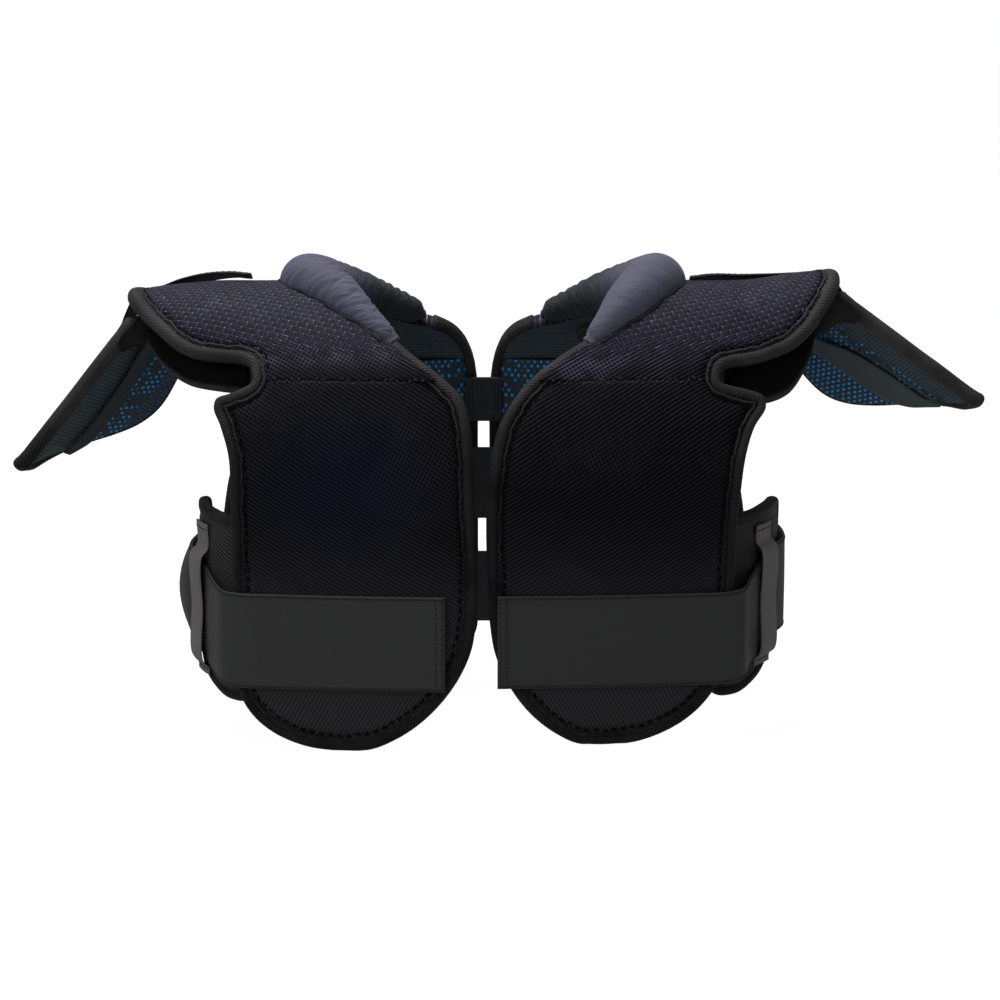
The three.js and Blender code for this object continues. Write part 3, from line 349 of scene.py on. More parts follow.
# Mesh making
def place(points):
    """Points in the row frame, in metres, and none below the floor."""
    placed = (np.asarray(points, float).reshape(-1, 3) + SHIFT) * 0.001
    placed[:, 2] = np.maximum(placed[:, 2], 0)
    return placed


def grid_faces(rows, cols, wrap=False):
    """Quads over rows of points, joined round where they wrap."""
    i, j = np.meshgrid(np.arange(rows - 1), np.arange(cols if wrap else cols - 1), indexing="ij")
    k = (j + 1) % cols
    return np.stack([i * cols + j, i * cols + k, (i + 1) * cols + k, (i + 1) * cols + j], -1).reshape(-1, 4)


def tube_faces(rows, sides, base=0, closed=False):
    """Quads between rings of points, with a cap at each end unless the tube is closed."""
    quads = (grid_faces(rows, sides, wrap=True) + base).tolist()
    first = base + np.arange(sides)
    last = first + (rows - 1) * sides
    if closed:
        return quads + np.stack([last, np.roll(last, -1), np.roll(first, -1), first], 1).tolist()
    return quads + [first.tolist(), last.tolist()]


def make(name, points, faces, uvs, materials, slots=None):
    """A smooth piece on the root body: its UVs are in metres over the cloth, its faces look outwards."""
    mesh = bpy.data.meshes.new(name)
    mesh.from_pydata(place(points).tolist(), [], faces)
    loops = np.empty(len(mesh.loops), np.int32)
    mesh.loops.foreach_get("vertex_index", loops)
    layer = mesh.uv_layers.new(name="UVMap")
    layer.data.foreach_set("uv", (np.asarray(uvs, float) * 0.001)[loops].ravel())
    for material in materials:
        mesh.materials.append(material)
    if slots is not None:
        mesh.polygons.foreach_set("material_index", np.asarray(slots, np.int32))
    mesh.polygons.foreach_set("use_smooth", np.ones(len(mesh.polygons), bool))
    mesh.validate()
    work = bmesh.new()
    work.from_mesh(mesh)
    bmesh.ops.recalc_face_normals(work, faces=work.faces)
    work.to_mesh(mesh)
    work.free()
    mesh.update()
    obj = bpy.data.objects.new(name, mesh)
    bpy.context.scene.collection.objects.link(obj)
    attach(obj, "root")
    kind, tag = name.rsplit("_", 1)
    stands_for = STANDS_FOR.get(name) or STANDS_FOR.get(f"{kind}_*")
    if stands_for:
        slot, nodes, fill = stands_for
        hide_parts(*nodes.replace("*", tag).split())


def shell(name, sheet, high, low, materials):
    """A closed piece over a sheet: slot 0 on the outer face and the rim, slot 1 on the inner face."""
    uv, point, normal = sheet
    outer, inner = (point + normal * np.asarray(lift)[..., None] for lift in (high, low))
    rows, cols = outer.shape[:2]
    count = rows * cols
    top = grid_faces(rows, cols)
    under = top[:, ::-1] + count
    ring = np.concatenate([
        np.arange(cols),
        np.arange(1, rows) * cols + cols - 1,
        (rows - 1) * cols + np.arange(cols - 2, -1, -1),
        np.arange(rows - 2, 0, -1) * cols,
    ])
    after = np.roll(ring, -1)
    rim = np.stack([ring, ring + count, after + count, after], 1)
    points = np.concatenate([outer.reshape(-1, 3), inner.reshape(-1, 3)])
    uvs = np.concatenate([uv.reshape(-1, 2)] * 2)
    slots = [0] * len(top) + [len(materials) - 1] * len(under) + [0] * len(rim)
    make(name, points, np.concatenate([top, under, rim]).tolist(), uvs, materials, slots)
    return outer


def sheet_grid(a, b, step, across):
    """Evenly spaced (u, v) rows between two edges that match station by station."""
    fine = np.linspace(0, len(a) - 1, (len(a) - 1) * 12 + 1)
    curves = [hermite(a, fine), hermite(b, fine)]
    curves.append((curves[0] + curves[1]) / 2)
    lengths = [np.linalg.norm(np.diff(c, axis=0), axis=1) for c in curves]
    run = np.concatenate([[0], np.cumsum(np.maximum.reduce(lengths))])
    rows = int(max(lengths[0].sum(), lengths[1].sum()) / step) + 2
    at = np.interp(np.linspace(0, run[-1], rows), run, fine)
    left, right = hermite(a, at), hermite(b, at)
    t = np.linspace(0, 1, across)[None, :, None]
    return left[:, None] * (1 - t) + right[:, None] * t


def dense(surface, stations, closed=False, per=30):
    """Places and points close together along a smooth line through (u, v) stations."""
    last = len(stations) if closed else len(stations) - 1
    uv = hermite(stations, np.linspace(0, last, last * per + 1), closed)
    return uv, surface(uv[:, 0], uv[:, 1])


def spread(surface, a, b, step, across, ends=(-1,), marks=9, border=None):
    """A sheet between two edges, as (uv, points, normals), and each point's distance from its border."""
    uv = sheet_grid(a, b, step, across)
    point, normal, _, _ = frame_at(surface, uv[..., 0], uv[..., 1])
    if border is None:
        border = [a, b] + [between(a[k], b[k], marks) for k in ends]
    line = np.concatenate([dense(surface, stations, per=40)[1] for stations in border])
    tree = KDTree(len(line))
    for i, p in enumerate(line):
        tree.insert(Vector(p), i)
    tree.balance()
    d = np.array([tree.find(Vector(p))[2] for p in point.reshape(-1, 3)]).reshape(point.shape[:-1])
    return (uv, point, normal), d


def tube(name, centre, across, normal, wide, thick, sides, run, material, ribs=None, closed=False):
    """A rolled strip: rings of a rounded section, with gathers from ribs(run, angle)."""
    angle = (np.arange(sides) + 0.5) / sides * 2 * math.pi
    c, s = np.cos(angle), np.sin(angle)
    shape = (np.abs(c) ** 2.3 + np.abs(s) ** 2.3) ** (-1 / 2.3)
    r, th = np.meshgrid(run, angle, indexing="ij")
    extra = ribs(r, th) if ribs else 0
    wide, thick = (np.broadcast_to(np.asarray(q, float), run.shape)[:, None] for q in (wide, thick))
    x = (wide / 2 + extra) * c * shape
    y = (thick / 2 + extra) * s * shape
    points = centre[:, None] + across[:, None] * x[..., None] + normal[:, None] * y[..., None]
    around = th / math.pi * (wide.mean() + thick.mean())
    uv = np.stack([r, around], -1).reshape(-1, 2)
    make(name, points, tube_faces(len(run), sides, closed=closed), uv, [material])


def edge_line(surface, loop, inside, step, closed=False):
    """Even stations along an edge: (u, v), points, directions out of the piece, normals and the run."""
    uv, p = dense(surface, loop, closed, 40)
    n = frame_at(surface, uv[:, 0], uv[:, 1])[1]
    along = np.roll(p, -1, 0) - np.roll(p, 1, 0) if closed else np.gradient(p, axis=0)
    out = unit(np.cross(unit(along), n))
    away = p - surface(*inside)
    far = np.argmax(np.linalg.norm(away, axis=1))
    if away[far] @ out[far] < 0:
        out = -out
    at, run = evenly(p, step)
    lines = at_places(uv, at), at_places(p, at), unit(at_places(out, at)), unit(at_places(n, at)), run
    return [line[: -1 if closed else None] for line in lines]


THREAD_SIDES = 6
# A stitch's thickness along it, as (share along, share of its radius, lift by its radius)
SPINDLE = [(0.0, 0.35, 0.2), (0.18, 0.9, 0.7), (0.5, 1.0, 0.7), (0.82, 0.9, 0.7), (1.0, 0.35, 0.2)]


def stitches(name, points, normals, thread, seed):
    """Short thread lengths laid in a row, each a slim spindle pressed into the cloth."""
    material, long, gap, radius, sink, wander = thread
    at, marks = evenly(points, 1)
    rng = np.random.RandomState(seed)
    verts, faces, uvs = [], [], []
    for start in np.arange(gap, marks[-1] - long, long + gap):
        start = start + rng.uniform(-0.3, 0.3)
        places = np.interp([start + share * long for share, _, _ in SPINDLE], marks, at)
        centre, up = at_places(points, places), unit(at_places(normals, places))
        beside = unit(np.cross(up, unit(np.gradient(centre, axis=0))))
        shift = rng.uniform(-wander, wander)
        faces += tube_faces(len(SPINDLE), THREAD_SIDES, len(verts))
        for k, (share, scale, raised) in enumerate(SPINDLE):
            for q in range(THREAD_SIDES):
                a = q / THREAD_SIDES * 2 * math.pi
                over = math.cos(a) * radius * scale * 1.25 + shift
                above = math.sin(a) * radius * scale - sink + radius * raised
                verts.append(centre[k] + beside[k] * over + up[k] * above)
                uvs.append((start + share * long, q))
    make(name, verts, faces, uvs, [material])


def strip(name, stations, thick, material, step=1.6, cols=13, rise=None, ends=None):
    """Webbing through stations of (three points over its width, normal), with rounded selvedges."""
    across = np.array([points for points, _ in stations], float)
    count = len(across)
    fine = np.linspace(0, count - 1, (count - 1) * 20 + 1)
    places, marks = evenly(hermite(across[:, 1], fine), step)
    at = np.interp(places, np.arange(len(fine)), fine)
    n = unit(hermite([normal for _, normal in stations], at))
    t = np.linspace(0, 1, cols)
    weights = 2 * (t - 0.5) * (t - 1), 4 * t * (1 - t), 2 * t * (t - 0.5)
    middle = sum(hermite(across[:, k], at)[:, None] * weights[k][None, :, None] for k in range(3))
    width = np.linalg.norm(across[count // 2, -1] - across[count // 2, 0])
    over = (t * width)[None, :]
    selvedge = np.minimum(t, 1 - t) * width
    half = np.tile(thick / 2 * (0.35 + 0.65 * np.sqrt(np.clip(selvedge / 1.6, 0, 1))), (len(marks), 1))
    if ends:
        half = half * ends(marks)[:, None]
    lift = rise(marks[:, None], over) if rise else 0
    uv = np.stack(np.broadcast_arrays(marks[:, None], over), -1)
    outer = shell(name, (uv, middle, n[:, None]), lift + half, lift - half, [material])
    return outer, n, marks


# Materials
class Value:
    """A number in a material, whose arithmetic makes nodes."""

    def __init__(self, look, socket):
        self.look = look
        self.socket = socket

    def then(self, operation, *others, clamp=False):
        made = self.look.node("ShaderNodeMath", operation=operation, use_clamp=clamp)
        for socket, value in zip(made.inputs, (self, *others)):
            self.look.put(socket, value)
        return Value(self.look, made.outputs[0])

    def __add__(self, other):
        return self.then("ADD", other)

    def __sub__(self, other):
        return self.then("SUBTRACT", other)

    def __mul__(self, other):
        return self.then("MULTIPLY", other)

    def __truediv__(self, other):
        return self.then("DIVIDE", other)

    def __abs__(self):
        return self.then("ABSOLUTE")

    def most(self, other):
        return self.then("MAXIMUM", other)

    def wave(self, pitch):
        """0 to 1 and back over each pitch."""
        return (self * (2 * math.pi / pitch)).then("SINE") * 0.5 + 0.5

    def ramp(self, low, high, to_low=0.0, to_high=1.0):
        made = self.look.node("ShaderNodeMapRange", interpolation_type="SMOOTHSTEP")
        for socket, value in zip(made.inputs, (self, low, high, to_low, to_high)):
            self.look.put(socket, value)
        return Value(self.look, made.outputs[0])


class Look:
    """A cloth: x and y are in millimetres over it; east, north and up are in metres in the row frame."""

    def __init__(self, name, roughness, specular, sheen=0.0, tint=(1, 1, 1)):
        self.material = bpy.data.materials.new(name)
        self.material.use_nodes = True
        self.tree = self.material.node_tree
        self.tree.nodes.clear()
        shader = self.node("ShaderNodeBsdfPrincipled")
        self.shader = shader.inputs
        self.put(self.node("ShaderNodeOutputMaterial").inputs[0], shader.outputs[0])
        self.put(self.shader["Roughness"], roughness)
        self.put(self.shader["Specular IOR Level"], specular)
        self.put(self.shader["Sheen Weight"], sheen)
        self.put(self.shader["Sheen Roughness"], 0.5)
        self.put(self.shader["Sheen Tint"], (*tint, 1))
        over_cloth = self.parts(self.node("ShaderNodeUVMap", uv_map="UVMap").outputs[0])
        self.x, self.y = over_cloth[0] * 1000, over_cloth[1] * 1000
        self.solid = self.node("ShaderNodeTexCoord").outputs["Object"]
        self.east, self.north, self.up = self.parts(self.solid)

    def node(self, kind, **attributes):
        made = self.tree.nodes.new(kind)
        for key, value in attributes.items():
            setattr(made, key, value)
        return made

    def put(self, socket, value):
        if isinstance(value, Value):
            value = value.socket
        if isinstance(value, bpy.types.NodeSocket):
            self.tree.links.new(value, socket)
        else:
            socket.default_value = value

    def parts(self, vector):
        made = self.node("ShaderNodeSeparateXYZ")
        self.put(made.inputs[0], vector)
        return [Value(self, output) for output in made.outputs]

    def vector(self, x, y):
        made = self.node("ShaderNodeCombineXYZ")
        self.put(made.inputs[0], x)
        self.put(made.inputs[1], y)
        return made.outputs[0]

    def turned(self, degrees):
        """The coordinates over the cloth, turned about their origin."""
        c, s = math.cos(math.radians(degrees)), math.sin(math.radians(degrees))
        return self.x * c + self.y * s, self.y * c - self.x * s

    def noise(self, scale, detail, vector=None):
        made = self.node("ShaderNodeTexNoise")
        self.put(made.inputs["Vector"], vector or self.solid)
        self.put(made.inputs["Scale"], scale)
        self.put(made.inputs["Detail"], detail)
        return Value(self, made.outputs[0])

    def cells(self, x, y, wide, tall):
        """Places inside staggered cells, each from 0 to 1, and a random number for each cell."""
        level = y / tall
        row = level.then("FLOOR")
        column = x / wide + row.then("MODULO", 2.0) * 0.5
        chance = self.node("ShaderNodeTexWhiteNoise", noise_dimensions="2D")
        self.put(chance.inputs["Vector"], self.vector(column.then("FLOOR"), row))
        return column.then("FRACT"), level.then("FRACT"), Value(self, chance.outputs["Value"])

    def mix(self, share, a, b):
        made = self.node("ShaderNodeMix", data_type="RGBA")
        self.put(made.inputs[0], share)
        for socket, colour in ((made.inputs[6], a), (made.inputs[7], b)):
            self.put(socket, (*colour, 1) if isinstance(colour, tuple) else colour)
        return made.outputs[2]

    def done(self, colour, height, distance, strength):
        """Sets the colour and the bump, and hands over the material."""
        self.put(self.shader["Base Color"], colour)
        made = self.node("ShaderNodeBump")
        self.put(made.inputs["Strength"], strength)
        self.put(made.inputs["Distance"], distance)
        self.put(made.inputs["Height"], height)
        self.put(self.shader["Normal"], made.outputs[0])
        return self.material


def woven_cells(look, sway, threads):
    """Small hatched cells over the shoulder, which give way to the given threads lower down."""
    x, y = look.turned(15)
    shake = look.noise(75, 2) * 3 - 1.5
    x, y = x + shake, y + sway * 0.5 + shake * 0.5
    in_x, in_y, chance = look.cells(x, y, 7.8, 5.2)
    left, top = in_x.ramp(0.04, 0.2, 1.0, 0.0), in_y.ramp(0.72, 0.9)
    hatch = x.wave(1.56).ramp(0.25, 0.75) * (in_x * -0.38 + 0.5) * (chance * 0.8 + 0.5)
    cell = hatch.most(left.most(top) * (chance * 0.3 + 0.45))
    gap = in_x.ramp(0.84, 0.97).most(in_y.ramp(0.16, 0.03))
    cell = (cell * (gap * -0.9 + 1)).most(left * top * 1.15)
    return cell + (threads - cell) * abs(look.y).ramp(84, 122)


def mesh_cloth(name, dark, light, knot_and_highlight, shoulder=False):
    """Spacer mesh: slanted ribs with crossing threads, and on the shoulder small woven cells."""
    look = Look(name, roughness=0.55, specular=0.06)
    x, y = look.turned(30)
    pitch = 2.9
    sway = look.noise(14, 2) * 5 - 2.5
    ribs = (y + sway * 0.6).wave(pitch) * look.up.ramp(0.05, 0.12, 0.6, 1.0)
    patch = look.noise(9, 2).ramp(0.42, 0.62).most(look.up.ramp(0.1, 0.17, 1.0, 0.0))
    least = 0.75 if shoulder else 0.35
    threads = ribs.most((x + sway).wave(pitch) * (patch * (1 - least) + least)).ramp(0.45, 0.95)
    if shoulder:
        threads = woven_cells(look, sway, threads)
    threads = threads.then("MULTIPLY", look.noise(60, 4) * 0.7 + 0.62, clamp=True)
    body = look.mix(threads, dark, light)
    # A soft blue cast in the middle of the right half's chest
    away = look.node("ShaderNodeVectorMath", operation="DISTANCE")
    look.put(away.inputs[0], look.solid)
    look.put(away.inputs[1], (-0.123, -0.12, 0.21))
    navy = Value(look, away.outputs["Value"]).ramp(0.095, 0.02) * (threads * 0.6 + 0.25)
    body = look.mix(navy, body, (0.0035, 0.0065, 0.026))
    # The knots on the threads' tops take the knot colour. This is a painted highlight, strongest on the
    # shoulder.
    body = look.mix(threads.ramp(0.7, 1.0) * 0.75, body, knot_and_highlight)
    if shoulder:
        # Painted shade: the shoulder darkens from its crest towards its seams with the chest and back, away
        # from the top light. Light knots are kept in it.
        knots = threads.ramp(0.72, 1.0) * (look.noise(16, 2).ramp(0.5, 0.66) * 0.9 + 0.08)
        shaded_by_seam = look.mix(knots, (0.0016, 0.0015, 0.0034), (0.05, 0.047, 0.08))
        body = look.mix(abs(look.y).ramp(78, 126, 0.0, 0.97), body, shaded_by_seam)
    else:
        low = look.up.ramp(0.03, 0.2, 0.85, 0.0) * (threads * 0.55 + 0.45)
        body = look.mix(low, body, (0.048, 0.0485, 0.051))
    return look.done(body, threads, 0.0009, 0.6)


def binding_cloth(name, top_light_gain, deep):
    """Ribbed tape with random patches of wear, and painted light: lighter higher up, where the top light
    falls.
    """
    look = Look(name, roughness=0.6, specular=0.1)
    slant = look.x + look.y * 0.75 + look.noise(45, 3) * 5
    ribs = slant.wave(3.3) * look.noise(35, 2).ramp(0.3, 0.6, 0.35, 1.0)
    weave = look.x.wave(0.9) * look.y.wave(0.9)
    wear_and_lit_patches = look.noise(30, 4)
    base = look.mix(ribs.ramp(0.1, 0.9), (0.0035, 0.0034, 0.0036), (0.0215, 0.0205, 0.0215))
    base = look.mix(wear_and_lit_patches.ramp(0.45, 0.75, 0.0, 0.5), base, (0.027, 0.0258, 0.0268))
    lit_tones = [tuple(top_light_gain * c for c in tone) for tone in ((0.03, 0.0285, 0.029), (0.05, 0.0475, 0.0485))]
    lit_top = look.mix(wear_and_lit_patches.ramp(0.3, 0.7), *lit_tones)
    # Painted light: higher up, the tape turns to the lighter tones that stand for the top light falling on
    # it.
    colour = look.mix(look.up.ramp(0.2, 0.31, 0.0, 0.62), base, lit_top)
    return look.done(colour, ribs * 0.8 + weave * 0.15, 0.0008, deep)


def satin():
    """Slate satin, darker behind, with pulled creases that are calmer on the left front."""
    look = Look("roll_satin", roughness=0.62, specular=0.12, sheen=0.1, tint=(0.72, 0.74, 0.95))
    cloth = look.noise(38, 4)
    front = look.mix(cloth, (0.06, 0.06, 0.09), (0.09, 0.091, 0.13))
    back = look.mix(cloth, (0.012, 0.0165, 0.0175), (0.024, 0.031, 0.033))
    pulled = look.noise(1.0, 2, look.vector((look.x + look.y * 0.3) * 0.11, look.y * 0.02))
    ridge = (abs(pulled * 2 - 1) * -1 + 1).then("POWER", 3.0)
    calm = look.east.ramp(0.01, -0.01, 0.32, 0.75).most(look.north.ramp(0.0, 0.03, 0.0, 0.75))
    fine = look.x.wave(0.8) * look.y.wave(0.8)
    height = fine * 0.04 + look.noise(150, 4) * 0.1 + ridge * calm
    return look.done(look.mix(look.north.ramp(0.012, 0.042), front, back), height, 0.0022, 0.75)


def lining_cloth(name, dots_from, dots_to=1e4, ribs_up=False):
    """Dark teal knit with rows of blue dots between two values of y, and fine ribs elsewhere."""
    look = Look(name, roughness=0.62, specular=0.12)
    stray = look.noise(25, 2) * 3 - 1.5
    in_x, in_y, chance = look.cells(look.x + stray, look.y - stray, 5.5, 4.8)
    off_x, off_y = (in_x - 0.5) * 5.5, (in_y - 0.5) * 3.6
    dot = (off_x * off_x + off_y * off_y).then("SQRT").ramp(0.95, 1.5, 1.0, 0.0)
    kept = (chance + look.noise(22, 2).ramp(0.35, 0.65, -0.35, 0.35)).ramp(0.22, 0.45)
    area = look.y.ramp(dots_from, dots_from + 3) * look.y.ramp(dots_to, dots_to + 5, 1.0, 0.12)
    shown = dot * kept * area
    lines = (look.y if ribs_up else look.x).wave(3.3)
    base = look.mix(lines.ramp(0.02, 0.35), (0.014, 0.021, 0.027), (0.044, 0.066, 0.08))
    base = look.mix(look.noise(240, 3).ramp(0.35, 0.7, 0.0, 0.45), base, (0.055, 0.08, 0.097))
    base = look.mix(area * 0.55, base, (0.026, 0.042, 0.056))
    tint = look.mix(chance, (0.035, 0.26, 0.78), (0.05, 0.38, 0.76))
    return look.done(look.mix(shown, base, tint), lines * 0.5 + shown * -0.7, 0.0006, 0.6)


def elastic(name, low, high, pitch=1.5):
    look = Look(name, roughness=0.58, specular=0.16)
    lines = look.y.wave(pitch)
    base = look.mix(lines.ramp(0.1, 0.95), low, high)
    colour = look.mix(look.noise(90, 4) * 0.35, base, low)
    return look.done(colour, lines * 0.7 + look.x.wave(1.1) * 0.25, 0.00035, 0.5)


def webbing(name, low, high, pitch=2.2):
    look = Look(name, roughness=0.66, specular=0.14)
    twill = (look.y + look.x * 0.9).wave(pitch) * 0.65 + look.x.wave(pitch * 0.6) * 0.35
    base = look.mix(twill.ramp(0.2, 0.85), low, high)
    return look.done(look.mix(look.noise(50, 4).ramp(0.5, 0.8, 0.0, 0.4), base, high), twill, 0.0006, 0.6)


def plain_cloth(name, low, high, pitch, roughness=0.75):
    look = Look(name, roughness=roughness, specular=0.08)
    grain = look.noise(160, 4)
    weave = look.x.wave(pitch) * look.y.wave(pitch)
    return look.done(look.mix(weave * 0.5 + grain * 0.5, low, high), weave + grain, 0.0004, 0.5)


def cap_cloth():
    """Plain cloth with painted light and shade: lighter where it faces the floor and dark where it faces up
    under the wing.
    """
    look = Look("cap_cloth", roughness=0.75, specular=0.08)
    facing = look.parts(look.node("ShaderNodeNewGeometry").outputs["Normal"])[2]
    grain = look.noise(160, 4) * 0.5 + 0.5
    # Painted shade on the faces that look up under the wing, and painted light on those that face the floor.
    colour = look.mix(facing.ramp(0.2, -0.3) * grain, (0.0012, 0.0011, 0.0012), (0.046, 0.042, 0.044))
    return look.done(colour, grain, 0.0004, 0.5)


# Painted light and shade: the chest and the shoulder are one mesh cloth. It is given here as a darker shaded
# copy for the chest, back and flaps, and a much lighter top-lit copy for the shoulder. The shoulder's woven
# cells are its own pattern.
CHEST_CLOTH_SHADED = mesh_cloth(
    "mesh_chest", (0.0011, 0.0011, 0.002), (0.009, 0.0088, 0.0128), (0.0155, 0.0148, 0.022)
)
SIDE_CLOTH = mesh_cloth("mesh_side", (0.012, 0.012, 0.0126), (0.045, 0.0445, 0.047), (0.055, 0.0545, 0.058))
SHOULDER_CLOTH_LIT = mesh_cloth(
    "mesh_shoulder", (0.0035, 0.0033, 0.006), (0.076, 0.071, 0.118), (0.4, 0.375, 0.58), shoulder=True
)
# The second number is the strength of the painted top light on each tape. It is stronger on the flaps' and
# side pads' edges.
BINDING_CLOTH = binding_cloth("binding_cloth", 1.0, 0.7)
FLAP_EDGE_CLOTH = binding_cloth("flap_edge_cloth", 1.5, 0.3)
ROLL_CLOTH = satin()
PIPING = plain_cloth("piping", (0.006, 0.0055, 0.009), (0.03, 0.029, 0.043), 1.0, roughness=0.5)
CAP_CLOTH = cap_cloth()
BACK_LINING = lining_cloth("back_lining_cloth", -1e4)
FLAP_LININGS = {
    "right": lining_cloth("flap_lining_right", 45, 84),
    "left": lining_cloth("flap_lining_left", 33),
}
INNER_CLOTH = lining_cloth("inner_cloth", 1e4, ribs_up=True)
BELT_CLOTH = elastic("belt_elastic", (0.029, 0.0297, 0.0303), (0.041, 0.0416, 0.043))
BELT_THREAD = plain_cloth("belt_thread", (0.012, 0.012, 0.0125), (0.05, 0.05, 0.052), 0.7)
DARK_THREAD = plain_cloth("dark_thread", (0.0005, 0.0005, 0.0006), (0.0025, 0.0025, 0.003), 0.7)
SEAM_THREAD = plain_cloth("seam_thread", (0.02, 0.019, 0.03), (0.07, 0.068, 0.095), 0.7)
KEEPER_CLOTH = webbing("keeper_webbing", (0.09, 0.084, 0.084), (0.19, 0.178, 0.177))
STRAP_CLOTH = webbing("strap_webbing", (0.009, 0.0095, 0.011), (0.026, 0.028, 0.033), 1.6)
CENTRE_CLOTH = webbing("centre_webbing", (0.02, 0.0225, 0.028), (0.055, 0.062, 0.074), 1.6)
FLAP_STRAP_CLOTHS = {
    "right": elastic("flap_elastic_right", (0.018, 0.025, 0.029), (0.038, 0.048, 0.055), 1.7),
    "left": elastic("flap_elastic_left", (0.036, 0.05, 0.058), (0.08, 0.1, 0.112), 1.7),
}
HINGE_CLOTH = plain_cloth("hinge_cloth", (0.012, 0.012, 0.0128), (0.03, 0.03, 0.032), 1.3)
TAB_CLOTH = webbing("tab_webbing", (0.012, 0.0125, 0.0135), (0.05, 0.05, 0.053), 1.8)

# Threads, as (material, stitch's length, gap between two, radius, depth sunk, wander to the side)
PAD_SEWING = (DARK_THREAD, 5.0, 2.4, 0.75, 0.25, 0.9)
SEAM_SEWING = (SEAM_THREAD, 3.4, 2.6, 0.5, 0.0, 0.6)
HOOK_SEWING = (DARK_THREAD, 3.0, 1.8, 0.35, 0.3, 0.1)
BELT_SEWING = (BELT_THREAD, 2.6, 1.5, 0.4, 0.0, 0.1)
KEEPER_SEWING = (BELT_THREAD, 2.4, 1.3, 0.4, 0.0, 0.1)
LINK_SEWING = (BELT_THREAD, 2.6, 1.4, 0.4, 0.0, 0.1)
TAB_SEWING = (DARK_THREAD, 2.4, 1.2, 0.45, 0.0, 0.1)


# Pieces of one half
def gathers(pitch, depth, seed):
    """Slanting puckers round a rolled strip, as heights over its run and its angle."""

    def ribs(run, angle):
        wander = 2.2 * ripple(run, 0 * run, seed, 46)
        phase = (run + wander) / pitch * 2 * math.pi + 1.7 * np.sin(angle)
        upper = 0.35 + 0.65 * blend01(0.5 - 0.5 * np.cos(angle))
        strong = 0.55 + 0.45 * ripple(run, 0 * run, seed + 5, 90)
        crease = np.abs(np.sin(phase / 2)) ** 0.7 - 0.6
        return depth * crease * upper * strong + 0.35 * ripple(run, angle * 6, seed + 9, 60)

    return ribs


def folded_edge(seed):
    """A flap's edge: soft gathers and a groove between its front fold and its underside."""
    soft = gathers(4.2, 0.35, seed)

    def ribs(run, angle):
        ruffle = dip(angle - 5.25, 0.35) * np.sin(run / 3.3 * 2 * math.pi + 3 * angle)
        strong = 0.5 + 0.5 * ripple(run, 0 * run, seed, 70)
        return soft(run, angle) - 1.5 * dip(angle - 5.45, 0.2) + 0.3 * ruffle * strong

    return ribs


def pad_height(d, edge, full, groove, reach, groove_at=6.2, groove_wide=2.6):
    """Height of a pad's face by the distance from its tucked edge, with the sewn groove by its binding."""
    return edge + (full - edge) * swell(d, reach) - groove * dip(d - groove_at, groove_wide)


def noise_over(sheet, seed, scale):
    uv = sheet[0]
    return ripple(uv[..., 0], uv[..., 1], seed, scale)


def seam_distance(sheet):
    return np.abs(np.abs(sheet[0][..., 1]) - SEAM_RUN)


def sewn_line(surface, stations, lift):
    """A line of points above a surface, and the normals there."""
    uv, p = dense(surface, stations)
    normal = frame_at(surface, uv[:, 0], uv[:, 1])[1]
    return p + normal * lift, normal


def strap_station(surface, u, v, width, lift):
    """Three points over a strap's width at (u, v), and the normal at the middle one."""
    return [lifted(surface, u, v + k * width, lift)[0] for k in HALF_WIDTHS], frame_at(surface, u, v)[1]


def body_panel(side, surface, outline, lead, powers, face):
    """A chest or back panel's outline, and a function for its edges at a distance inside it."""
    neck, arm = body_edges(side, outline, powers, face)
    path = lead + neck + arm[::-1]
    foot = len(lead) + len(neck)
    directions = edge_directions(surface, path, (100, face * 0.6 * SECTION), foot)

    def edges(distance):
        inset = inset_line(path, directions, distance)
        lead_in, neck_in, arm_in = inset[: len(lead)], inset[len(lead) : foot], inset[foot:][::-1]
        above, below = lead_in[-1], neck_in[0]
        share = (SEAM_RUN - abs(above[1])) / abs(below[1] - above[1])
        seam_neck = above[0] + (below[0] - above[0]) * share
        a = [(seam_neck, face * SEAM_RUN)] + neck_in
        b = [(side["notch"] * CHEST_HALF - distance, face * SEAM_RUN)] + arm_in
        return a, b, lead_in

    return path, edges


def build_half(name, side, seed):
    surface = body_surface(side)
    lead, nape = (
        [(out * CHEST_HALF, down * SECTION) for down, out in rows] for rows in (side["throat"], BACK["nape"])
    )
    chest_path, chest_edges = body_panel(side, surface, side, lead, (1.75, 2.2), -1)
    back_path, back_edges = body_panel(side, surface, BACK, nape, (2.3, 2.3), 1)
    panel("chest", name, surface, chest_edges, seed, seed - 1)
    panel("back", name, surface, back_edges, seed, seed + 1)
    rows = side["roll"] + ROLL_BACK
    centre = [(out * CHEST_HALF, down * SECTION) for down, out, _ in rows]
    radius = np.array([thick * 24 for _, _, thick in rows])
    outwards = -edge_directions(surface, centre, (240, 0), len(rows) // 2)
    beside = [tuple(q) for q in np.array(centre) + outwards * radius[:, None] * 0.7]
    wing_path = shoulder_panel(name, side, surface, chest_edges, back_edges, beside, seed)
    half_binding(name, surface, chest_path[:-1] + wing_path + back_path[:-1][::-1], seed)
    neck_roll(name, surface, np.array(centre), outwards, radius, seed)
    under_cap(name, side, surface)
    arm_flap(name, side, surface, seed)
    hook_strap(name, side, surface, seed)
    side_surface, length = plan_surface(side)
    side_pad(name, side_surface, length, seed)
    belt(name, side, surface, side_surface, length, seed)
    keeper(name, side, side_surface, length, seed)


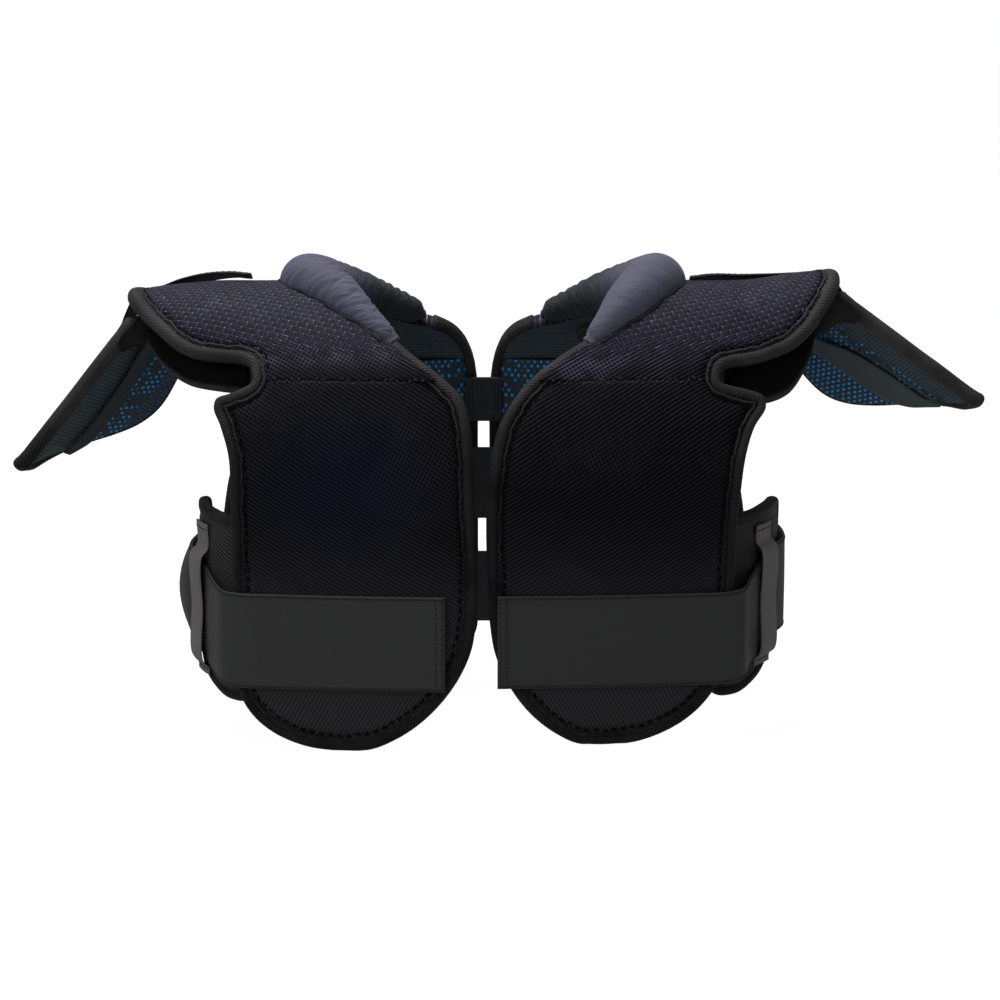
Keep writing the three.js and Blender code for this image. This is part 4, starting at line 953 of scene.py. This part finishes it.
def panel(part, name, surface, edges, seed, soft_seed):
    """A chest or back panel with its sewn line, and the back's facing."""
    a, b, _ = edges(TUCK)
    sheet, d = spread(surface, a, b, 2.8, 76)
    soft = noise_over(sheet, soft_seed, 70) * swell(d, 26)
    seam = 0.5 * dip(seam_distance(sheet), SEAM_WIDE)
    high = pad_height(d, PAD_EDGE, PAD_FULL, 1.7, PAD_REACH) - seam - 0.35 + 0.35 * soft
    low = -PAD_EDGE - 3.9 * swell(d, PAD_REACH)
    shell(f"{part}_panel_{name}", sheet, high, low, [CHEST_CLOTH_SHADED, INNER_CLOTH])
    if part == "back":
        a, b, _ = edges(8.5)
        sheet, d = spread(surface, a, b, 4.0, 48)
        low = -6.4 - 4.4 * swell(d, 11) - 0.5 * noise_over(sheet, seed + 40, 48) * swell(d, 20)
        shell(f"back_facing_{name}", sheet, low + 0.7, low, [BACK_LINING])
    a, b, _ = edges(STITCHED)
    line = sewn_line(surface, a[1:] + b[1:][::-1], 5.0)
    stitches(f"{part}_stitches_{name}", *line, PAD_SEWING, seed)


def shoulder_panel(name, side, surface, chest_edges, back_edges, beside, seed):
    """The padded saddle and wing; hands back the wing's outline."""
    front_neck, front_arm, lead_in = chest_edges(TUCK)
    back_neck, back_arm, nape_in = back_edges(TUCK)
    notch = side["notch"] * CHEST_HALF
    rows = [(reach * WING_REACH, along * SECTION) for along, reach in side["wing"]]
    edge = [(notch, -SEAM_RUN)] + rows + [(notch, SEAM_RUN)]
    directions = edge_directions(surface, edge, (160, 0), len(edge) // 2)
    wing = inset_line(edge, directions, TUCK)
    wing[0], wing[-1] = front_arm[0], back_arm[0]
    neck = [front_neck[0]] + lead_in[::-1] + beside + nape_in + [back_neck[0]]
    sheet, d = spread(surface, neck, wing, 2.7, 76, border=[wing])
    seam = seam_distance(sheet)
    full = 7.3 + 0.65 * np.exp(-seam / 14)
    soft = noise_over(sheet, seed + 3, 60) * swell(d, 26)
    high = pad_height(d, PAD_EDGE, full, 1.4, PAD_REACH, 7.0, 2.4) - 0.5 * dip(seam, SEAM_WIDE) + 0.4 * soft
    low = -PAD_EDGE - 2.9 * swell(d, PAD_REACH)
    shell(f"shoulder_panel_{name}", sheet, high, low, [SHOULDER_CLOTH_LIT, INNER_CLOTH])
    line = sewn_line(surface, inset_line(edge, directions, STITCHED + 1.0)[1:-1], 4.9)
    stitches(f"wing_stitches_{name}", *line, PAD_SEWING, seed + 1)
    for tag, face, start, end in (("front", -1, front_neck, front_arm), ("rear", 1, back_neck, back_arm)):
        across = np.linspace(start[0][0] + 8, end[0][0] - 8, 60)
        line = [(u, face * (SEAM_RUN + 1.6 * math.sin(u * 0.33) + math.sin(u * 0.9))) for u in across]
        line = sewn_line(surface, line, 7.1)
        stitches(f"seam_thread_{tag}_{name}", *line, SEAM_SEWING, seed + 2)
    return edge


def half_binding(name, surface, loop, seed):
    """One rolled binding round the whole edge of the half, and the sewn lip along its inner side."""
    _, p, out, n, run = edge_line(surface, loop, (110, -0.5 * SECTION), 1.4)
    on_wing = blend01((p[:, 2] - 292) / 22)
    wide = 9.4 + 1.9 * on_wing + 0.5 * ripple(run, 0 * run, seed + 6, 130)
    middle = p - out * (wide / 2)[:, None]
    tube(f"edge_binding_{name}", middle, out, n, wide, 12.8, 16, run, BINDING_CLOTH, gathers(3.5, 0.6, seed))
    sway = 0.45 * np.sin(run / 4.1) + 0.35 * np.sin(run / 1.9 + 2)
    lip = p - out * (wide + 1.3 + sway)[:, None] + n * 4.5
    tube(f"binding_lip_{name}", lip, out, n, 2.3, 2.6, 8, run, BINDING_CLOTH, gathers(5.2, 0.5, seed + 4))


def roll_folds(r, th, total, name, seed):
    """Height of the neck roll's creases, over the run along it and the angle round it."""
    rng = np.random.RandomState(seed)
    creases, strength = (17, 1.0) if name == "right" else (7, 0.4)
    fold = np.zeros_like(r)
    for k in range(creases):
        at_run = total * (0.04 + 0.46 * (k + rng.uniform(-0.35, 0.35)) / creases)
        slant = rng.uniform(1, 9)
        middle = rng.uniform(0.45, 0.95) * math.pi
        window = dip(th - middle, rng.uniform(0.4, 1.0))
        deep = rng.uniform(0.45, 1.25) * strength
        away = (r - at_run - slant * (th - middle) - 2.0 * np.sin(2 * th + k)) / rng.uniform(1.0, 2.2)
        fold += window * deep * (0.55 * dip(away - 1.6, 1) - dip(away, 1))
    rear = 9
    for k in range(rear):
        at_run = total * (0.6 + 0.38 * (k + rng.uniform(-0.2, 0.2)) / rear)
        away = (r - at_run - 3 * np.sin(th * 1.5 + k)) / 2.4
        window = 0.4 + 0.6 * dip(th - 2.2, 1.4)
        fold += window * rng.uniform(0.5, 1.2) * (0.5 * dip(away - 1.5, 1) - dip(away, 1))
    puckers = np.abs(np.sin(r / 7.5 * math.pi + 1.3 * np.sin(r / 17)))
    fold -= 0.4 * puckers * dip(th - 0.1, 0.5)
    return fold + 0.55 * ripple(r, th * 22, seed + 8, 60)


def neck_roll(name, surface, centre, outwards, radius, seed):
    """The stuffed roll, the gathered piping beside it and the folded end of its cover."""
    tips = centre[[0, -1]] + (centre[[0, -1]] - centre[[1, -2]]) * 0.28
    stations = np.concatenate([tips[:1], centre, tips[1:]])
    sizes = np.concatenate([[radius[0] * 0.6], radius, [radius[-1] * 0.6]])
    turns = np.concatenate([outwards[:1], outwards, outwards[-1:]])
    at = np.linspace(0, len(stations) - 1, (len(stations) - 1) * 50 + 1)
    uv, big, turn = hermite(stations, at), hermite(sizes[:, None], at), hermite(turns, at)
    p, n, _, _ = frame_at(surface, uv[:, 0], uv[:, 1])
    out = surface(uv[:, 0] + turn[:, 0], uv[:, 1] + turn[:, 1]) - p
    out = unit(out - (out * n).sum(1, keepdims=True) * n)
    places, run = evenly(p, 1.15)
    p, n, out = at_places(p, places), unit(at_places(n, places)), unit(at_places(out, places))
    big = at_places(big, places)
    total = run[-1]
    sides = 84
    angle = (np.arange(sides) + 0.5) / sides * 2 * math.pi
    r, th = np.meshgrid(run, angle, indexing="ij")
    taper = 0.62 + 0.38 * blend01(run / 9) * blend01((total - run) / 9)
    fade = blend01(run / 16) * blend01((total - run) / 16)
    full = (big * 0.98 + roll_folds(r, th, total, name, seed) * fade[:, None]) * taper[:, None]
    x = full * np.cos(th)
    y = full * np.sin(th) * (0.65 + 0.35 * blend01(run / 13))[:, None]
    points = (p + n * big * 0.2)[:, None] + out[:, None] * x[..., None] + n[:, None] * y[..., None]
    uv = np.stack([r, th * 20], -1).reshape(-1, 2)
    make(f"roll_{name}", points, tube_faces(len(run), sides), uv, [ROLL_CLOTH])

    wavy = 0.7 * np.sin(run / 6.5) + 0.5 * np.sin(run / 3.1 + 1)
    line = p + out * (big * 0.965 + 0.8 + wavy[:, None]) + n * (6.4 + 0.5 * np.sin(run / 4.3))[:, None]
    line, beside, up, kept = (q[4:-4] for q in (line, out, n, run))
    tube(f"piping_{name}", line, beside, up, 3.4, 3.2, 10, kept, PIPING, gathers(3.1, 0.5, seed + 7))

    tab_long = 15
    p, out, n, run = (q[run < tab_long] for q in (p, out, n, run))
    line = p - out * 0.5 + n * (2.5 + 4.5 * blend01(run / tab_long))[:, None]
    tube(f"roll_tab_{name}", line, out, n, 11.5, 4.6, 18, run, ROLL_CLOTH, gathers(4.0, 0.9, seed + 2))


def under_cap(name, side, surface):
    """The padded cap, which hangs below the wing and droops towards its front."""
    farthest = max(-front for _, front, _ in side["cap"]) * SECTION
    hung_by = WING_HALF + 1.5 + 5.5

    def hung(u, v):
        return lifted(surface, u, v, -hung_by - 9 * (np.asarray(v) / farthest) ** 2)[0]

    hung.orient = surface.orient
    front, back = ([(row[0] * WING_REACH, row[k] * SECTION) for row in side["cap"]] for k in (1, 2))
    sheet, d = spread(hung, front, back, 2.1, 122, marks=15)
    half = 5.4 * np.sqrt(1 - (1 - np.clip((d + 0.4) / 7, 0, 1)) ** 2) + 0.25 * noise_over(sheet, 5, 40)
    shell(f"cap_{name}", sheet, half, -half, [CAP_CLOTH])


def flap_surface(side):
    """A flap's middle layer: u is the way down from the hinge, v the way back from its front edge."""
    droop, turn = math.radians(side["droop"]), math.radians(side["turn"])
    sign = side["sign"]
    hinge = np.array(side["hinge"], float) * (sign, 1, 1)
    along = np.array([sign * math.cos(droop), 0, -math.sin(droop)])
    up = np.array([sign * math.sin(droop), 0, math.cos(droop)])
    rear = np.array([0, math.cos(turn), 0]) - up * math.sin(turn)
    out = np.cross(along, rear) * sign

    def surface(u, v):
        u, v = np.broadcast_arrays(np.asarray(u, float), np.asarray(v, float))
        bulge = 10 * np.sin(math.pi * np.clip(v / side["wide"], 0, 1))
        return hinge + u[..., None] * along + v[..., None] * rear + bulge[..., None] * out

    surface.orient = sign
    return surface


def flap_girth(share):
    """The flap's edge is thicker along its front."""
    return 12.2 - 6.6 * blend01((share - 0.2) / 0.3)


def arm_flap(name, side, body, seed):
    """The padded flap with its facing, edge, hinge cloth and elastic."""
    surface = flap_surface(side)
    long, wide = side["long"], side["wide"]
    inside = (long * 0.4, wide * 0.4)
    rows = len(FLAP_ROWS)
    front = [(f * long, 0) for _, _, f in FLAP_ROWS]
    rear = [(a * long, r * wide) for a, r, _ in FLAP_ROWS]
    loop = [(0, 0)] + front + [(long, 0), (long, 0.18 * wide)] + rear[::-1]
    directions = edge_directions(surface, loop, inside, 4, True)
    tucked = flap_girth(np.array(loop)[:, 1] / wide) * 0.7
    inset = np.array(loop) - directions * tucked[:, None]
    corner, a, b = inset[0], inset[1 : rows + 2], inset[rows + 2 :][::-1]
    near_a = np.array([corner[0] + (a[0][0] - corner[0]) * 0.12, corner[1]])
    near_b = corner + (b[0] - corner) * 0.12
    a, b = np.concatenate([[near_a], a]), np.concatenate([[near_b], b])
    sheet, d = spread(surface, a, b, 2.4, 48, ends=(0, -1))
    soft = noise_over(sheet, seed + 12, 55) * swell(d, 15)
    high = pad_height(d, 3.6, 6.0, 0.8, 9) + 0.3 * soft - 0.3
    low = -3.6 - 2.3 * swell(d, 9)
    cloths = [CHEST_CLOTH_SHADED, FLAP_LININGS[name]]
    shell(f"flap_{name}", sheet, high, low, cloths)
    low = low - 0.9 - 0.35 * soft
    shell(f"flap_facing_{name}", sheet, low + 0.6, low, cloths[1:])

    uv, p, out, n, run = edge_line(surface, loop, inside, 1.4, closed=True)
    girth = flap_girth(uv[:, 1] / wide)
    tube(
        f"flap_edge_{name}", p - out * (girth / 2)[:, None], out, n, girth, 5.4 + girth * 0.58, 24, run,
        FLAP_EDGE_CLOTH, folded_edge(seed + 30), closed=True,
    )
    hinge_cloth(name, surface, body, long, wide)
    stations = [strap_station(surface, a * long, v * wide, w, -9.4) for a, v, w in FLAP_ELASTIC[name]]
    strip(f"flap_elastic_{name}", stations, 2.2, FLAP_STRAP_CLOTHS[name])
    if name == "left":
        corded_seam(surface, long, wide, seed)


def hinge_cloth(name, surface, body, long, wide):
    """The soft cloth between a flap's lining and the underside of the wing."""
    hem_at, hem_along = np.array(HINGE_HEM).T
    at = np.linspace(hem_at[0], hem_at[-1], 40)
    low, _ = lifted(surface, np.interp(at, hem_at, hem_along) * long, at * wide, -8.6)
    neck, _ = lifted(surface, 0.02 * long + 0 * at, at * wide, -7.5)
    depth = HALF_DEPTH - 18 * (280 / CHEST_HALF) ** 2
    around = ARCH * np.arcsin(np.clip(neck[:, 1] / depth, -1, 1)) / (math.pi / 2)
    high, _ = lifted(body, np.abs(neck[:, 0]) - 13, around, -8.0)
    down = np.linspace(0, 2, 26)
    rows = hermite(np.stack([low.ravel(), neck.ravel(), high.ravel()]), down).reshape(26, 40, 3)
    normal = unit(np.cross(np.gradient(rows, axis=0), np.gradient(rows, axis=1)))
    normal *= np.sign((normal * frame_at(surface, 0.1 * long, at * wide)[1][None]).sum(-1))[..., None]
    run, over = np.meshgrid(down * 12, at * wide, indexing="ij")
    soft = 0.9 * np.sin(run / 2.6 + over / 13) * blend01(down / 0.3)[:, None]
    sheet = np.stack([over, run], -1), rows, normal
    shell(f"hinge_cloth_{name}", sheet, soft + 0.6, soft - 0.6, [HINGE_CLOTH])


def corded_seam(surface, long, wide, seed):
    """A thin corded seam in front of the left flap's elastic."""
    uv, p = dense(surface, [(along * long, across * wide) for along, across in FLAP_CORD])
    n = frame_at(surface, uv[:, 0], uv[:, 1])[1]
    at, run = evenly(p, 1.2)
    p, n = at_places(p, at), unit(at_places(n, at))
    beside = unit(np.cross(np.gradient(p, axis=0), n))
    width = 0.3 + 2.0 * blend01(run / 22) * blend01((run[-1] - run) / 12)
    cloth = FLAP_STRAP_CLOTHS["left"]
    tube("flap_cord_left", p - n * 7.3, beside, n, width, 2.0, 10, run, cloth, gathers(3.0, 0.2, seed + 3))


def hook_strap(name, side, body, seed):
    """The strap over the shoulder and down the flap."""
    flap = flap_surface(side)
    long, wide = side["long"], side["wide"]
    over, down = PAD_HALF + CLEAR + 1, FLAP_HALF + CLEAR + 1
    stations = []
    for reach, run, lift in STRAP_OVER[name]:
        stations.append(strap_station(body, reach * WING_REACH, run, STRAP_WIDE, over + lift))
    for along, lift in STRAP_DOWN:
        stations.append(strap_station(flap, along * long, 0.5 * wide, STRAP_WIDE, down + lift))

    def curl(run, width):
        return 0.9 * np.sin(run / 19 + width / 30) * blend01(run / 12)

    outer, n, _ = strip(f"hook_strap_{name}", stations, 2.4, STRAP_CLOTH, rise=curl)
    for tag, col in (("a", 2), ("b", 10)):
        stitches(f"hook_stitches_{tag}_{name}", outer[:, col], n, HOOK_SEWING, seed)


def plan_curve(side):
    """The side pad's plan as a Catmull-Rom curve, sampled closely."""
    pts = np.array([(out * CHEST_HALF, -depth * HALF_DEPTH, 0) for out, depth in side["plan"]], float)
    ends = np.vstack([2 * pts[0] - pts[1], pts, 2 * pts[-1] - pts[-2]])
    fine = []
    for i in range(1, len(ends) - 2):
        p0, p1, p2, p3 = ends[i - 1 : i + 3]
        dt = [max(1e-4, np.linalg.norm(q - p) ** 0.5) for p, q in ((p0, p1), (p1, p2), (p2, p3))]
        leave = (p1 - p0) / dt[0] - (p2 - p0) / (dt[0] + dt[1]) + (p2 - p1) / dt[1]
        arrive = (p2 - p1) / dt[1] - (p3 - p1) / (dt[1] + dt[2]) + (p3 - p2) / dt[2]
        s = np.linspace(0, 1, 60, endpoint=False)[:, None]
        fine.append(bend(s, p1, leave * dt[1], p2, arrive * dt[1]))
    fine = np.vstack(fine + [pts[-1:]])
    return fine, run_along(fine)


def plan_surface(side):
    """The upright surface over the side pad's plan, and the plan's length."""
    fine, run = plan_curve(side)
    length = run[-1]
    tangent = unit(np.gradient(fine, run, axis=0))

    def surface(u, v):
        u, v = np.broadcast_arrays(np.asarray(u, float), np.asarray(v, float))
        c = np.clip(u, 0, length)
        x, y = (np.interp(c, run, fine[:, k]) + np.interp(c, run, tangent[:, k]) * (u - c) for k in (0, 1))
        height = SIDE_FOOT + v
        slope = (SPRING - height) / SPRING * side["splay"]
        return np.stack([side["sign"] * x, y - slope * (1 - blend01(c / length * 1.2)), height], -1)

    surface.orient = side["sign"]
    return surface, length


def side_pad(name, surface, length, seed):
    """The pad under the arm and its rolled edge."""
    low, high = ([(row[0] * length, row[k] * SIDE_TALL) for row in SIDE_ROWS] for k in (1, 2))
    loop = low + high[::-1]
    inside = (length / 2, 76)
    inset = inset_line(loop, edge_directions(surface, loop, inside, 3, True), 6.5)
    sheet, d = spread(surface, inset[: len(low)], inset[len(low) :][::-1], 2.2, 64, ends=(0, -1))
    half = pad_height(d, 3.4, 5.4, 0.7, 9, 7, 1.6) + 0.15 * noise_over(sheet, seed + 17, 50)
    shell(f"side_panel_{name}", sheet, half, -half, [SIDE_CLOTH, INNER_CLOTH])
    _, p, out, n, run = edge_line(surface, loop, inside, 1.2, closed=True)
    tube(
        f"side_edge_{name}", p - out * 4.6, out, n, 9.2, 10.6, 14, run, FLAP_EDGE_CLOTH,
        gathers(3.4, 0.7, seed + 50), closed=True,
    )


def belt_foot(side, turn):
    """Height of the belt's lower edge: turn runs from 0 on the chest to 1 at the back."""
    return BELT_FOOT + (side["belt_back"] - BELT_FOOT) * turn


def belt_stations(side, body, surface, length):
    """The belt's course over the chest, round the side pad and over the back."""
    stations = []

    def add(place_at, turn, bow=0.0):
        marks = [place_at(belt_foot(side, turn) + BELT_TALL * (1 - k)) for k in (0, 0.5, 1)]
        points, normals = zip(*marks)
        stations.append(([points[0], points[1] + normals[1] * bow, points[2]], normals[1]))

    def on_body(share, face):
        def at_height(height):
            return lifted(body, share * CHEST_HALF, face * run_at(height), 8.5 + CLEAR + 1.3)

        return at_height

    def round_corner(height):
        u = side["lobe"][3] * CHEST_HALF + 2.6 + 4
        point, normal = lifted(body, u, -run_at(height), PAD_HALF + CLEAR + 2.6 - 3)
        return point, unit(normal + np.array([side["sign"], 0, 0]))

    start = side["belt_from"]
    for share in (start, start + 9 / CHEST_HALF, 0.35, 0.6, 0.82, 0.95):
        add(on_body(share, -1), 0)
    add(round_corner, 0.06)
    for along, above, turn in ((0.24, 7, 0.3), (0.38, 0.6, 0.6), (0.5, 0, 0.8), (0.62, 0.6, 0.95)):
        lift = SIDE_HALF + CLEAR + 1.3 + above
        add(lambda height: lifted(surface, along * length, height - SIDE_FOOT, lift), turn)
    behind = side["behind"]
    for i, (out_share, depth, bow) in enumerate(behind):
        before, after = behind[max(0, i - 1)], behind[min(len(behind) - 1, i + 1)]
        run_x, run_y = (after[0] - before[0]) * CHEST_HALF, (before[1] - after[1]) * HALF_DEPTH
        normal = unit(np.array([side["sign"] * run_y, -run_x, 0.0]))
        x, y = side["sign"] * out_share * CHEST_HALF, -depth * HALF_DEPTH
        add(lambda height: (np.array([x, y, height]), normal), 1, bow)
    for share in (1.02, 0.86, 0.68, 0.5):
        add(on_body(share, 1), 1)
    return stations


def belt(name, side, body, surface, length, seed):
    """The wide elastic, with its sewn end on the chest and its thin selvedges."""
    def folded(run):
        return 1 + 0.75 * blend01((8.5 - run) / 2.0)

    def waves(run, width):
        fold = 0.3 * np.sin(run / 33 + 0.8) * np.sin(width / BELT_TALL * math.pi)
        if name == "right":
            return fold
        x, y = run - 150, width - 28
        return fold - 0.7 * dip(x * 0.5 + y * 0.87, 2.6) * dip(x * 0.87 - y * 0.5, 30)

    cols = 41
    stations = belt_stations(side, body, surface, length)
    outer, n, marks = strip(f"belt_band_{name}", stations, 2.6, BELT_CLOTH, 2.4, cols, waves, folded)
    for tag, at_run in (("a", 3.0), ("b", 7.2)):
        row = int(np.argmin(np.abs(marks - at_run)))
        line = outer[row, 1:-1], np.repeat(n[row : row + 1], cols - 2, 0)
        stitches(f"belt_end_{tag}_{name}", *line, BELT_SEWING, seed)
    for tag, col in (("top", 1), ("foot", cols - 2)):
        at, run = evenly(outer[:, col], 1.6)
        line, up = at_places(outer[:, col], at), unit(at_places(n, at))
        beside = unit(np.cross(np.gradient(line, axis=0), up))
        tube(f"belt_selvedge_{tag}_{name}", line, beside, up, 1.7, 0.9, 6, run, BELT_THREAD)


def keeper(name, side, surface, length, seed):
    """The webbing over the belt at the side."""
    middle = 0.5 * length
    aside = 0 if name == "right" else -5
    flat = SIDE_HALF + CLEAR + 1
    over = flat + 2.6 + CLEAR + 2
    foot = belt_foot(side, 0.8) - SIDE_FOOT
    head = foot + BELT_TALL
    rows = [
        (foot - 16, flat), (foot - 11, flat), (foot - 5.5, over), ((foot + head) / 2, over),
        (head + 5.5, over), (head + 11, flat), (139, flat),
    ]
    stations = []
    for up, away in rows:
        points = [lifted(surface, middle + aside + k * KEEPER_WIDE, up, away)[0] for k in HALF_WIDTHS]
        stations.append((points, frame_at(surface, middle, up)[1]))
    cols = 15
    outer, n, _ = strip(f"keeper_{name}", stations, 2.2, KEEPER_CLOTH, 1.4, cols)
    for tag, row in (("foot", 3), ("head", -4)):
        line = outer[row], np.repeat(n[row][None], cols, 0)
        stitches(f"keeper_stitches_{tag}_{name}", *line, KEEPER_SEWING, seed)


# Pieces between the halves
def centre_strap(tag, low, high):
    """A strap between two heights that joins the halves from inside."""
    right, left = (body_surface(SIDES[name]) for name in ("right", "left"))
    inset, lift = 16.0, -(PAD_HALF + 0.9 + 1)
    stations = []
    for k in range(6):
        run = run_at(low + (high - low) * k / 5)
        a, b = (lifted(surface, inset, run, lift)[0] for surface in (right, left))
        stations.append(([a, (a + b) / 2, b], unit(frame_at(left, inset, run)[1] * (0, 1, 1))))
    outer, n, _ = strip(f"link_strap_{tag}", stations, 2.2, CENTRE_CLOTH, 1.2, 21)
    inner = outer - n[:, None] * 2.3
    for side_tag, col in (("a", 2), ("b", 4), ("c", 16), ("d", 18)):
        line = inner[:, col], -n
        stitches(f"link_stitches_{tag}_{side_tag}", *line, LINK_SEWING, 3)


def inner_tab():
    """The small round-ended tab inside the left shoulder."""
    surface = body_surface(SIDES["left"])
    u, v = 0.4 * CHEST_HALF, 0.235 * SECTION
    long, wide, lift = 38, 22, -(WING_HALF + 0.9 + 2)
    shape = ((0, 0.35), (0.06, 0.66), (0.14, 0.86), (0.3, 1), (0.65, 1), (1, 1))
    stations = [strap_station(surface, u + t * long, v, wide * share, lift) for t, share in shape]
    strip("tab_inside", stations, 3.8, TAB_CLOTH, 1.0, 17)
    ring = [(u + 15 + 6 * math.cos(a), v + 6 * math.sin(a)) for a in np.linspace(0, 2 * math.pi, 25)]
    points, normals = sewn_line(surface, ring, lift - 2.0)
    stitches("tab_stitches", points, -normals, TAB_SEWING, 4)


# Floor, lights and camera
def link(obj):
    bpy.context.scene.collection.objects.link(obj)
    return obj


def seen_level(tree, seen_by_others, seen_by_camera):
    """A strength that differs between the picture's ground and the light on the object."""
    level = tree.nodes.new("ShaderNodeMapRange")
    level.inputs["To Min"].default_value = seen_by_others
    level.inputs["To Max"].default_value = seen_by_camera
    tree.links.new(tree.nodes.new("ShaderNodeLightPath").outputs["Is Camera Ray"], level.inputs["Value"])
    return level.outputs[0]


def floor(size):
    look = bpy.data.materials.new("studio_floor")
    look.use_nodes = True
    tree = look.node_tree
    tree.nodes.clear()
    kinds = ("ShaderNodeOutputMaterial", "ShaderNodeAddShader", "ShaderNodeBsdfDiffuse", "ShaderNodeEmission")
    out, both, diffuse, glow = (tree.nodes.new(kind) for kind in kinds)
    diffuse.inputs[0].default_value = (0.14, 0.14, 0.14, 1)
    glow.inputs[0].default_value = (1, 1, 1, 1)
    tree.links.new(seen_level(tree, 0.3, 0.955), glow.inputs[1])
    tree.links.new(diffuse.outputs[0], both.inputs[0])
    tree.links.new(glow.outputs[0], both.inputs[1])
    tree.links.new(both.outputs[0], out.inputs[0])
    mesh = bpy.data.meshes.new("floor")
    corners = [(x * size, y * size, 0) for x, y in ((-1, -1), (1, -1), (1, 1), (-1, 1))]
    mesh.from_pydata(corners, [], [(0, 1, 2, 3)])
    mesh.materials.append(look)
    link(bpy.data.objects.new("floor", mesh))


def world():
    made = bpy.data.worlds.new("studio")
    bpy.context.scene.world = made
    made.use_nodes = True
    background = made.node_tree.nodes["Background"]
    background.inputs[0].default_value = (1, 1, 1, 1)
    made.node_tree.links.new(seen_level(made.node_tree, 0.32, 1.0), background.inputs[1])


def area_light(name, location, target, size, power, colour=(1, 1, 1)):
    light = bpy.data.lights.new(name, "AREA")
    light.shape = "RECTANGLE"
    light.size, light.size_y = size
    light.energy = power
    light.color = colour
    obj = link(bpy.data.objects.new(name, light))
    obj.location = location
    obj.rotation_euler = (Vector(target) - Vector(location)).to_track_quat("-Z", "Y").to_euler()


def camera(elevation, distance, target):
    back = Vector((0, -math.cos(elevation), math.sin(elevation)))
    data = bpy.data.cameras.new("camera")
    data.lens = 99.5
    data.sensor_width = 36
    data.clip_start, data.clip_end = 0.1, 60
    obj = link(bpy.data.objects.new("camera", data))
    obj.location = Vector(target) + back * distance
    obj.rotation_euler = (-back).to_track_quat("-Z", "Y").to_euler()
    bpy.context.scene.camera = obj


build_half("right", SIDES["right"], 11)
build_half("left", SIDES["left"], 23)
for tag, low, high in (("upper", 232, 273), ("middle", 145, 208), ("lower", 52, 115)):
    centre_strap(tag, low, high)
inner_tab()
floor(30.0)
world()
area_light("key", (-0.4, 0.25, 2.3), (0, 0, 0.3), (1.8, 1.2), 56, (0.97, 0.98, 1))
area_light("fill", (-1.4, -2.2, 1.5), (0, 0, 0.25), (1.4, 1.4), 14)
camera(math.radians(10), 2.3, (0.00153, 0.00227, 0.18035))
bpy.context.scene.view_settings.view_transform = "Standard"
